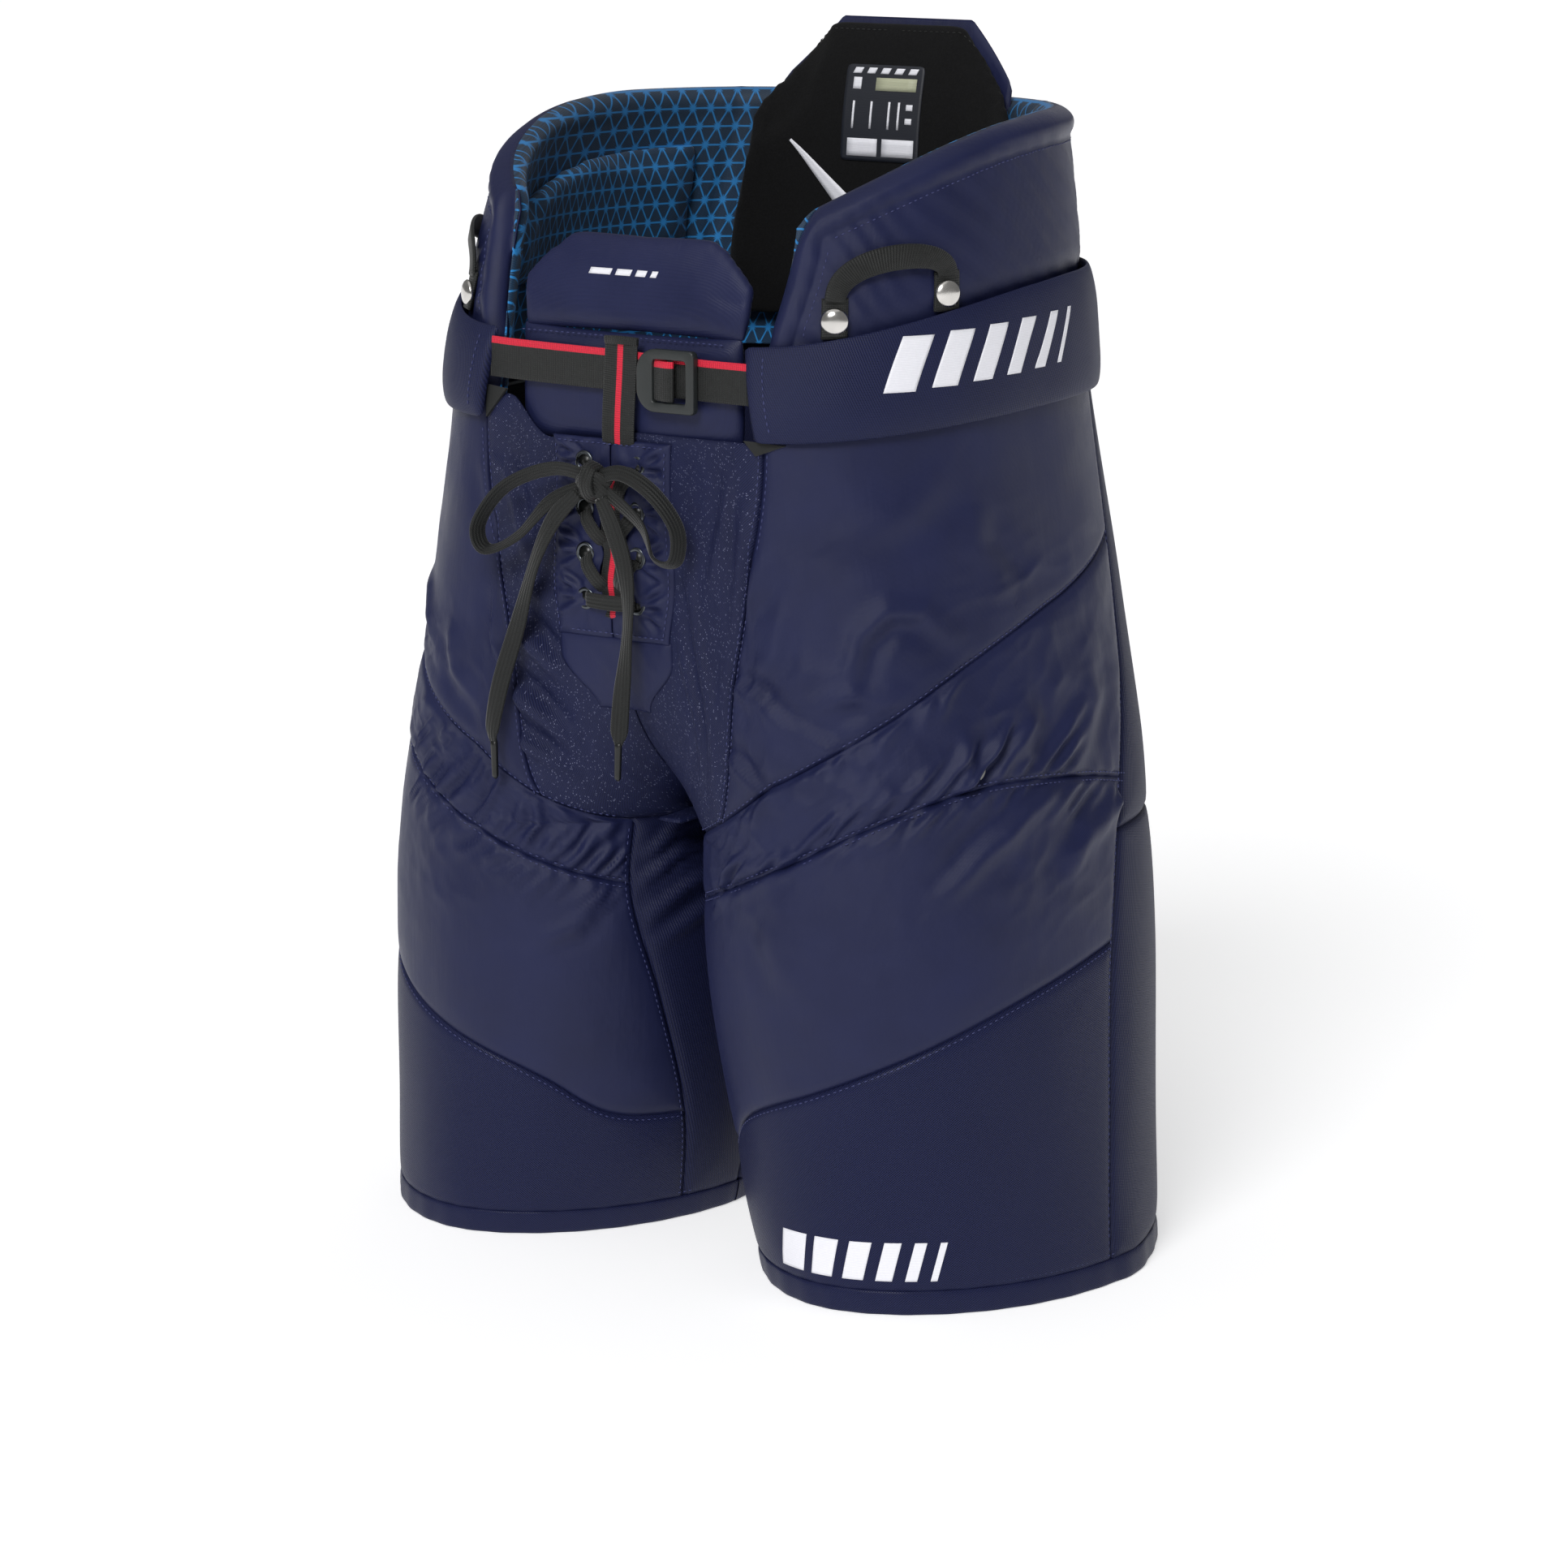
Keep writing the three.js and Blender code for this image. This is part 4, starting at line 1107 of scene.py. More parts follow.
# Creases: points as angle and height, half width and depth, for each half.
HIP_CREASES = {
    "left": [([(-64, 312), (-59, 334), (-50, 346), (-40, 344), (-30, 326)], 5.5, 2.8),
             ([(-108, 313), (-92, 309), (-80, 292)], 4.5, -2.4), ([(-117, 280), (-103, 271), (-91, 257)], 4.0, -2.2),
             ([(-66, 262), (-68, 276), (-80, 289)], 4.0, 1.9), ([(-104, 338), (-92, 352), (-84, 372)], 6.0, 1.5),
             ([(-75, 300), (-62, 306), (-50, 302)], 5.0, 1.8), ([(-98, 300), (-86, 322), (-82, 345)], 5.0, 1.5),
             ([(-16, 352), (-22, 372), (-20, 392)], 7.0, 1.2), ([(-58, 380), (-40, 392), (-28, 410)], 8.0, 1.0)],
    "right": [([(-104, 300), (-96, 318), (-94, 340)], 4.5, 1.9), ([(-92, 280), (-80, 296), (-76, 318)], 5.0, 1.7),
              ([(-98, 372), (-88, 386), (-84, 404)], 6.0, 1.4), ([(-60, 312), (-52, 330), (-40, 338)], 5.0, 2.0)]}
BAND_CREASES = {
    "left": fan(SEAM_MIDDLE, -116, -12, 25, 34, 0.95, 2.1, 2.7, 5)
            + fan(SEAM_TOP, -100, -30, 12, 24, 0.7, 1.6, 3.2, 6, -1)
    + [([(-50, 235), (-34, 262), (-34, 288)], 4.5, 2.2), ([(-20, 262), (-14, 284), (-16, 306)], 6.0, 1.6),
       ([(-4, 262), (6, 290), (8, 316)], 7.0, 1.5)],
    "right": fan(SEAM_MIDDLE, -136, -60, 22, 30, -0.95, 2.3, 2.5, 8)
             + fan(SEAM_TOP, -136, -80, 11, 22, -0.7, 1.6, 3.0, 9, -1)}
THIGH_CREASES = {
    "left": fan(SEAM_MIDDLE, -112, 16, 22, 20, 1.2, 1.5, 2.4, 10, -1)
    + [([(-2, 254), (-19, 243), (-33, 226), (-46, 206)], 5.5, 2.6), ([(14, 238), (0, 226), (-10, 206)], 6.0, 2.0),
       ([(-88, 204), (-92, 180), (-88, 158)], 7.0, 1.1)],
    "right": fan(SEAM_MIDDLE, -136, -70, 16, 18, -1.1, 1.5, 2.3, 12, -1)
    + [([(-128, 180), (-122, 168), (-110, 160)], 5.0, 1.3)]}
INNER_CREASES = {
    "left": [([(-150, 205), (-158, 190), (-168, 180)], 4.0, 1.8)],
    "right": [([(-142, 190), (-152, 203), (-164, 210)], 3.4, 2.6), ([(-144, 172), (-154, 186), (-168, 196)], 3.6, 2.6),
              ([(-143, 203), (-150, 214), (-158, 220)], 3.0, 2.2), ([(-146, 156), (-158, 170), (-170, 180)], 4.0, 1.8),
              ([(-144, 181), (-153, 194), (-166, 203)], 3.0, 2.0)]}
GROIN_CREASES = {
    "left": [([(-133, 365), (-129, 330), (-122, 282), (-122, 250)], 6.0, 1.7),
             ([(-96, 404), (-106, 380), (-120, 350)], 6.5, 1.6),
             ([(-140, 318), (-132, 290), (-128, 262)], 4.5, 1.7), ([(-90, 392), (-98, 360), (-106, 330)], 5.0, 1.1)],
    "right": [([(-110, 322), (-126, 312), (-148, 295)], 5.5, 4.6), ([(-104, 292), (-121, 283), (-142, 266)], 5.5, 4.6),
              ([(-104, 270), (-118, 262), (-136, 250)], 4.5, 3.4), ([(-92, 400), (-104, 384), (-116, 356)], 5.5, 1.8),
              ([(-112, 345), (-126, 338), (-146, 330)], 5.0, 1.9), ([(-150, 262), (-158, 248), (-166, 236)], 4.5, 1.8)]}


class PANTS_OT_panels(Step):
    """The sewn panels of both halves: hips, bands, thighs, hems, insides, rears and seat"""
    bl_idname = "pants.panels"
    bl_label = "Sewn panels"

    def execute(self, context):
        midline = curve([(0, -180), (500, -180)])
        back = curve([(0, 180), (500, 180)])
        hem = curve([(-180, HEM_TOP - 1.5), (180, HEM_TOP - 1.5)])
        crotch = curve([(-180, CROTCH + 0.1), (180, CROTCH + 0.1)])
        for name, side in SIDES.items():
            def shell_top(a):
                return belt_low(a) + 12

            def plain(folds, slow=0.8, pucker=None, strokes=(), flared=False):
                def at(side, a, z, edge):
                    near = None if pucker is None else (np.abs(z - pucker[0](a)), pucker[1])
                    lift = relief(side, a, z, edge, folds, slow, near, strokes)
                    return lift + (flare(a, z) if flared else 0)
                return at

            panel("hip_panel", name, (GROIN, REAR, SEAM_TOP, shell_top),
                  plain(HIP_FOLDS, 1.1, None, HIP_CREASES[name]), "Nylon",
                  grid=0.0022, nodes=[f"hip_shell_{name}"])
            panel("band_panel", name, (INNER, REAR, SEAM_MIDDLE, SEAM_TOP),
                  plain(BAND_FOLDS, 0.6, (SEAM_MIDDLE, 0.7), BAND_CREASES[name]), "Nylon", grid=0.0017,
                  nodes=[f"leg_shell_{name}"])
            panel("thigh_panel", name, (INNER, REAR, SEAM_LOW, SEAM_MIDDLE),
                  plain(THIGH_FOLDS, 1.1, (SEAM_MIDDLE, 0.6), THIGH_CREASES[name]), "Nylon", grid=0.0020)
            panel("mesh_panel", name, (INNER, REAR, hem, SEAM_LOW), plain([], 0.9, flared=True), "Mesh cloth")
            panel("inner_panel", name, (midline, INNER, hem, crotch),
                  plain(INNER_FOLDS, 0.6, None, INNER_CREASES[name]),
                  "Rear knit")
            panel("rear_panel", name, (REAR, back, hem, crotch), plain([], 0.9, flared=True), "Rear knit",
                  grid=0.003)
            panel("rear_top_panel", name, (REAR, back, crotch, shell_top), plain([], 1.0), "Rear knit",
                  grid=0.003, nodes=[f"seat_panel_{name}"])

            def groin_top(a):
                if side > 0:
                    return 424.0 + 0 * a
                return 418 + 20 * ramp(-a, 125, 84)

            def groin_low(a):
                return np.where(a < -139, CROTCH + 0.1, SEAM_TOP(a))

            def groin_relief(side, a, z, edge):
                folds = [(-150, 262, 30, 26, 1.6, 20, 1.4, 0.4), (-118, 300, 14, 46, 1.6, 17, 2.2, 0.35),
                         (-100, 392, 20, 30, 0.8, 22, 1.6, 0.2)]
                side_edge = np.abs(a - GROIN(z)) * ARC
                bottom_edge = np.abs(z - groin_low(a))
                top_edge = np.abs(z - groin_top(a)) + 3
                lift = relief(side, a, z, np.minimum(np.minimum(side_edge, bottom_edge), top_edge), folds, 1.0,
                              None, GROIN_CREASES[name])
                return lift * (0.35 + 0.65 * ramp(a, -156, -134)) - 0.6 * ramp(-a, 126, 150)

            panel("groin_cloth", name, (midline, GROIN, groin_low, groin_top), groin_relief, "Groin knit",
                  nodes=[f"groin_panel_{name}"])
        return {"FINISHED"}


class PANTS_OT_hems(Step):
    """The folded hems, with their lower edges on the floor"""
    bl_idname = "pants.hems"
    bl_label = "Hems"

    def execute(self, context):
        for name, side in SIDES.items():
            def place(u, v):
                a = -180 + 360 * u
                along, across = squared(v, 0.6)
                z = HEM_TOP / 2 + (HEM_TOP / 2 - 0.1) * along
                offset = -1.1 + 1.5 * across + flare(a, z) + 0.25 * np.sin(a * ARC / 3.1)
                return body(z, a, offset, side), np.stack([a * ARC * MM, z * MM], -1)

            bm = grid_of(150, 16, place)
            close_up(bm, 5e-5)
            hem = new_piece(bm, f"hem_fold_{name}", "Mesh cloth")
            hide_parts(f"hem_band_{name}")
            bend(hem, name)
        return {"FINISHED"}


class PANTS_OT_stitches(Step):
    """Rows of stitches beside the seams"""
    bl_idname = "pants.stitches"
    bl_label = "Stitches"

    def execute(self, context):
        for name, side in SIDES.items():
            lines = []
            for seam, start, end, gap in ((SEAM_TOP, -139, 33, 2.0), (SEAM_MIDDLE, -136, 20, 2.0),
                                          (SEAM_MIDDLE, -136, 20, -2.0), (SEAM_LOW, -155, 5, -2.0)):
                a = np.linspace(start, end, 160)
                lines.append(body(seam(a) + gap, a, -0.15, side))
            for seam, start, end, gap in ((GROIN, 236, 420, 1.4), (GROIN, 236, 420, -1.4), (REAR, 16, 432, -1.4),
                                          (INNER, 16, 218, 1.4)):
                z = np.linspace(start, end, 160)
                lines.append(body(z, seam(z) + gap, -0.15, side))
            a = np.linspace(-179, 179, 360)
            lines.append(body(np.full_like(a, HEM_TOP + 2.2), a, -0.15 + 2.0 * np.exp(-((a - 8) / 9) ** 2 - 0.4), side))
            sew(f"seam_stitches_{name}", lines, rides=name)
        return {"FINISHED"}


class PANTS_OT_guards(Step):
    """Guard plates, foam and linings inside the shell"""
    bl_idname = "pants.guards"
    bl_label = "Guards and linings"

    def execute(self, context):
        for name, side in SIDES.items():
            def leg_top(a):
                return arc_low(a, 150)

            def pelvis_low(a):
                return arc_low(a, 147.3) + 1

            parts = [
                ("thigh_guard", -104, 50, flat(42), leg_top, -6.2, -3.7, "Guard plastic", "guard_plastic",
                 [f"thigh_guard_plate_{name}"], False),
                ("thigh_foam", -107, 60, flat(38), leg_top, -17.0, -7.0, "Foam", "foam",
                 [f"thigh_guard_foam_{name}"], True),
                ("thigh_liner", -110, 65, flat(36), leg_top, -19.8, -17.8, "Padding", "black_padding",
                 [f"leg_liner_{name}"], False),
                ("hip_guard", -66, 24, pelvis_low, flat(427), -6.2, -3.7, "Guard plastic", "guard_plastic",
                 [f"hip_guard_plate_{name}"], False),
                ("hip_foam", -70, 27, pelvis_low, flat(427), -17.0, -7.0, "Padding", "foam",
                 [f"hip_guard_foam_{name}"], True),
            ]
            for title, left, right, low, high, inner, outer, material, slot, nodes, soft in parts:
                place = pad_place(side, left, right, low, high, inner, outer, edge=4)
                pad = closed_pad(f"{title}_{name}", 56, 36, place, material)
                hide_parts(*nodes)
                bend(pad, name)
        return {"FINISHED"}


WING_REAR = 118
WING_THICK = 14.0


def wing_front(z):
    return -81 + 13 * ramp(np.asarray(z, float), 434, 532)


def wing_rim(a):
    return rim(a) - 15 * (1 - rounded_end(a + 70, 9.0)) - 12 * (1 - rounded_end(WING_REAR - a, 9.0))


def wing_edge(a, z):
    """Distance from a wing's free edge, rounded at its corners, in millimetres."""
    across = np.minimum(a - wing_front(z), WING_REAR - a) * ARC
    up = wing_rim(a) - z
    radius = 14.0
    corner = radius - np.hypot(np.maximum(radius - across, 0), np.maximum(radius - up, 0))
    return np.clip(np.minimum(corner, np.minimum(across, up)), 0, None)


def wing_low(a):
    return belt_low(a) + 9.4


class PANTS_OT_wings(Step):
    """The padded kidney wings: satin shells with a rolled rim, printed linings and raised pads"""
    bl_idname = "pants.wings"
    bl_label = "Kidney wings"

    def execute(self, context):
        def rear(z):
            return np.full_like(z, float(WING_REAR))

        def lining_low(a):
            return belt_low(a) + 3

        for name, side in SIDES.items():
            def outer(u, v):
                a, z = solve_panel(spread(u), spread(v), wing_front, rear, wing_low, wing_rim)
                d = wing_edge(a, z)
                round_edge = rounded_end(d, WING_THICK / 2)
                offset = -WING_THICK / 2 * (1 - round_edge)
                offset += 2.8 * np.sin(np.pi * np.clip(d / 16, 0, 1)) - 4.6 * np.exp(-((d - 16.5) / 1.5) ** 2)
                inner = np.clip(d - 16.5, 0, None)
                offset += 2.6 * (1 - np.exp(-inner / 12)) * (d > 16.5)
                arc = a * ARC
                offset += ramp(d, 3, 20) * (0.8 * drape(arc, z, 30, 60, 9.0 + side))
                near = np.exp(-((d - 16.5) / 7.0) ** 2)
                offset += 0.45 * near * np.sin((arc + z) / 2.6 + 2 * np.sin(arc / 13.0))
                offset -= 2.4 * (1 - ramp(z, belt_high(a) - 6, belt_high(a) + 10))
                return body(z, a, offset, side), np.stack([arc * MM, z * MM], -1)

            bm = grid_of(190, 90, outer)
            face_from(bm, leg_core(side))
            wing = new_piece(bm, f"wing_shell_{name}", "Nylon", rides="pelvis")
            thicken(wing, 0.0012)
            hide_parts(f"kidney_wing_{name}")

            def inner_face(u, v):
                a, z = solve_panel(spread(u), spread(v), wing_front, rear, lining_low, wing_rim)
                d = wing_edge(a, z)
                round_edge = rounded_end(d, WING_THICK / 2)
                offset = -WING_THICK / 2 * (1 + round_edge)
                offset -= 1.5 * np.sin(np.pi * np.clip(d / 18, 0, 1))
                offset += ramp(d, 6, 24) * 1.0 * drape(a * ARC, z, 26, 50, 15.0 + side)
                seam = np.abs(a - 52 - (z - 500) * 0.05) * ARC
                offset += 1.8 * np.exp(-(seam / 2.4) ** 2)
                return body(z, a, offset, side), np.stack([a * ARC * MM, z * MM], -1)

            bm = grid_of(120, 60, inner_face)
            face_from(bm, leg_core(side))
            bmesh.ops.reverse_faces(bm, faces=bm.faces)
            lining = new_piece(bm, f"wing_lining_{name}", "Lining", rides="pelvis")
            thicken(lining, 0.0010)

            place = pad_place(side, -58, 44, lambda a: np.full(np.shape(a), 478.0), lambda a: wing_rim(a) - 27,
                              -23.6, -14.8, edge=8)
            pad = closed_pad(f"kidney_cushion_{name}", 70, 40, place, "Lining")
            cloth_map(plump(pad, voxel=0.0042, cap=0.0025))
            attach(pad, "pelvis")
            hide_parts(f"kidney_pad_{name}")

            a = np.linspace(-58, 108, 300)
            z = np.linspace(474, 516, 60)
            rows = [body(wing_rim(a) - 16.5, a, 4, side), body(z, wing_front(z) + 16.5 / ARC, 4, side)]
            rows = [laid_line(row, wing, core=leg_core(side)) for row in rows]
            sew(f"wing_stitches_{name}", rows)
        return {"FINISHED"}


def lean_back(bm_or_mesh, amount=9.0):
    """Leans the free top of the spine pad back."""
    for v in bm_or_mesh:
        v.co.y += amount * MM * float(ramp(v.co.z / MM, 545, 614))


def spine_edge(a):
    across = np.abs(body(np.full(np.shape(a), 592.5), a, 0)[..., 0]) / MM
    return 614 - 43 * np.clip((across - 40) / 49, 0, 1.3)


class PANTS_OT_spine(Step):
    """The spine pad, its back cover, label and slash, and the tail pad"""
    bl_idname = "pants.spine"
    bl_label = "Spine and tail pads"

    def execute(self, context):
        place = pad_place(1, 58, 58, flat(450), spine_edge, -29.6, -19.0, edge=8, mirrored=True)
        pad = closed_pad("spine_cushion", 110, 48, place, "Padding")
        lean_back(pad.data.vertices)
        plump(pad, voxel=0.0045, cap=0.0025)
        settle(pad)
        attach(pad, "spine_support")
        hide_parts("spine_pad")

        place = pad_place(1, 70, 70, flat(456), lambda a: spine_edge(a) - 3, -18.6, -14.6, edge=5, mirrored=True)
        cover = closed_pad("spine_back_cover", 90, 24, place, "Nylon")
        lean_back(cover.data.vertices)
        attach(cover, "spine_support")
        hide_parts("spine_plate")

        place = pad_place(1, 112, 112, flat(338), flat(433), -13.7, -3.7, edge=6, mirrored=True)
        tail = closed_pad("tail_cushion", 60, 28, place, "Padding")
        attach(tail, "pelvis")
        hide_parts("tail_pad")

        def on_pad(parts, title, material, target, gap, thick):
            bm = joined(parts)
            lay_on(bm, target, gap=gap, back=0.08)
            face_from(bm, from_behind)
            piece = new_piece(bm, title, material, rides="spine_support")
            thicken(piece, thick)
            return piece

        def block(x0, x1, z0, z1, lean=0.0, columns=4, rows=3):
            y = row_y(70)
            return patch([(x0 * MM, y, z0 * MM), (x1 * MM, y, z0 * MM), ((x1 + lean) * MM, y, z1 * MM),
                          ((x0 + lean) * MM, y, z1 * MM)], columns, rows)

        def rounded(u, v):
            x, z = 2 * u - 1, 2 * v - 1
            corner = 0.9
            over, under = np.maximum(np.abs(x), np.abs(z)), np.minimum(np.abs(x), np.abs(z))
            squeeze = np.where(under > corner, 1 - 0.30 * (over - corner) / (1 - corner) * (under - corner), 1)
            points = np.stack([(-1 + 24 * x * squeeze) * MM, np.full_like(x, row_y(70)),
                               (563 + 24.5 * z * squeeze) * MM], -1)
            return points, np.stack([points[:, 0], points[:, 2]], -1)

        label = on_pad([grid_of(28, 28, rounded)], "size_label", "Label cloth", pad, 0.0005, 0.0006)
        on_pad([block(-6, 19, 574.5, 581, 0)], "label_block", "Label block", label, 0.0002, 0.0002)
        marks = [block(-21 + 8.5 * i, -16 + 8.5 * i, 583, 586, 1.5) for i in range(5)]
        marks += [block(-20, -15, 575, 581), block(-21, -2.5, 541, 550), block(0.5, 20, 541, 550)]
        marks += [block(x, x + 1.2, 555, 569) for x in (-19, -8, 3, 9)]
        marks += [block(14, 18, 565, 568), block(14, 18, 558, 561)]
        on_pad(marks, "label_marks", "White print", label, 0.0002, 0.0002)

        slash = patch([(-56.5 * MM, row_y(70), 547 * MM), (-27 * MM, row_y(70), 515 * MM),
                       (-19 * MM, row_y(70), 520 * MM), (-55.5 * MM, row_y(70), 548 * MM)], 16, 3)
        on_pad([slash], "spine_slash", "White print", pad, 0.0004, 0.0003)
        lines = []
        for sign in (-1, 1):
            x = np.linspace(4, 82, 60)
            z = 614 - 43 * np.clip((x - 40) / 49, 0, 1.3) - 9
            lines.append(laid_line(np.stack([sign * x * MM, np.full_like(x, row_y(70)), z * MM], -1), pad))
        sew("spine_stitches", lines, "Black thread", "spine_support")
        return {"FINISHED"}


def board_place(half, low, high, front, thick, lean=0.0, edge=5.0, shift=3.0):
    """Places a closed flat pad: half gives its half width over the height, front the y of its front."""
    def place(u, v):
        along, across = squared(v, across=0.8)
        z = (low + high) / 2 + (high - low) / 2 * along
        wide = half(z)
        ends = np.minimum(u, 1 - u) * 2 * wide
        slim = rounded_end(ends, edge)
        x = (2 * u - 1) * wide + shift
        y = front + thick / 2 - thick / 2 * across * slim
        y = y + lean * (z - low) / (high - low)
        points = np.stack([x * MM, (y + MIDDLE_Y) * MM, z * MM], -1)
        return points, points[:, ::2]
    return place


class PANTS_OT_belly(Step):
    """The two belly pads and the seam between them"""
    bl_idname = "pants.belly"
    bl_label = "Belly pads"

    def execute(self, context):
        lower_half = curve([(415, 66), (424, 67), (471, 68)])
        place = board_place(lower_half, 414, 472.6, -125.2, 8.4, edge=6)
        lower = closed_pad("belly_cushion_lower", 60, 40, place, "Padded nylon")
        plump(lower, voxel=0.004, cap=0.0014)
        settle(lower)
        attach(lower, "pelvis")
        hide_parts("belly_pad_lower")

        def upper_half(z):
            return np.interp(z, [470, 483, 495, 505, 515, 520], [67, 68.5, 69.5, 60, 48, 37])

        place = board_place(upper_half, 470.0, 519.4, -125.2, 8.4, lean=11, edge=6)
        upper = closed_pad("belly_cushion_upper", 64, 44, place, "Padded nylon")
        plump(upper, voxel=0.004, cap=0.0016)
        settle(upper)
        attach(upper, "upper_belly_pad")
        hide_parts("belly_pad_upper")

        x = np.linspace(-62, 62, 120)
        line = np.stack([x * MM, np.full_like(x, row_y(-125.6)), np.full_like(x, 0.4695)], -1)
        sew("belly_stitches", [line])

        bars = [patch([(x0 * MM, row_y(-130), 0.4985), ((x0 + w) * MM, row_y(-130), 0.4985),
                       ((x0 + w + 1.2) * MM, row_y(-130), 0.5015), ((x0 + 1.2) * MM, row_y(-130), 0.5015)], 6, 2)
                for x0, w in ((-24, 13), (-8, 9), (4, 6), (13, 3.5))]
        bm = joined(bars)
        lay_on(bm, upper, gap=0.0002, back=0.05)
        face_from(bm, from_behind)
        dashes = new_piece(bm, "belly_dashes", "White print", rides="upper_belly_pad")
        thicken(dashes, 0.0002)
        return {"FINISHED"}


class PANTS_OT_belt(Step):
    """The padded belt wings with their print, end tabs and stitches"""
    bl_idname = "pants.belt"
    bl_label = "Belt"

    def execute(self, context):
        for name, side in SIDES.items():
            def swell(a, z, across):
                t = np.clip((z - belt_low(a)) / (belt_high(a) - belt_low(a)), 0, 1)
                wave = 0.5 * drape(a * ARC, z, 24, 30, 21.0 + side)
                return np.clip(across, 0, 1) * (1.7 * np.sin(np.pi * t) ** 0.6 + wave)

            place = pad_place(side, -82, 96, belt_low, belt_high, 1.6, 6.2, edge=5, lift=swell)
            belt = closed_pad(f"belt_cushion_{name}", 150, 48, place, "Belt knit")
            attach(belt, "pelvis")
            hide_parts(f"belt_wing_{name}")

            core = leg_core(side)
            marks = []
            start = -45.0
            for wide in (15, 12.5, 10, 7.5, 5, 2.5):
                def place_bar(u, v, start=start, wide=wide):
                    z = 449 + 26 * v + (start + 45) * 0.09
                    a = start + (wide * u) / ARC + 9.0 * v / ARC
                    return body(z, a, 12, side), np.stack([a * ARC * MM, z * MM], -1)
                marks.append(grid_of(10, 12, place_bar))
                start += (wide + 8.0) / ARC
            bm = joined(marks)
            lay_on(bm, belt, core=core, gap=0.00025)
            face_from(bm, core)
            print_piece = new_piece(bm, f"belt_bars_{name}", "White print", rides="pelvis")
            thicken(print_piece, 0.0003)

            z = np.linspace(430, 465, 50)
            row = body(z, np.full_like(z, -76.5), 8.4, side)
            sew(f"belt_stitches_{name}", [laid_line(row, belt, core=core)])

            corners = [(-88.5, 440), (-81, 441), (-82.5, 425)] if side < 0 else [(-86, 425.5), (-73, 424), (-83, 418.5)]
            bm = bmesh.new()
            verts = [bm.verts.new(body(z, a, 2.6 if side < 0 else 2.0, side)) for a, z in corners]
            bm.faces.new(verts)
            bmesh.ops.subdivide_edges(bm, edges=bm.edges, cuts=2, use_grid_fill=True)
            face_from(bm, core)
            tab = new_piece(bm, f"belt_tab_{name}", "Webbing", rides="pelvis", shade=False)
            thicken(tab, 0.0018)
        return {"FINISHED"}


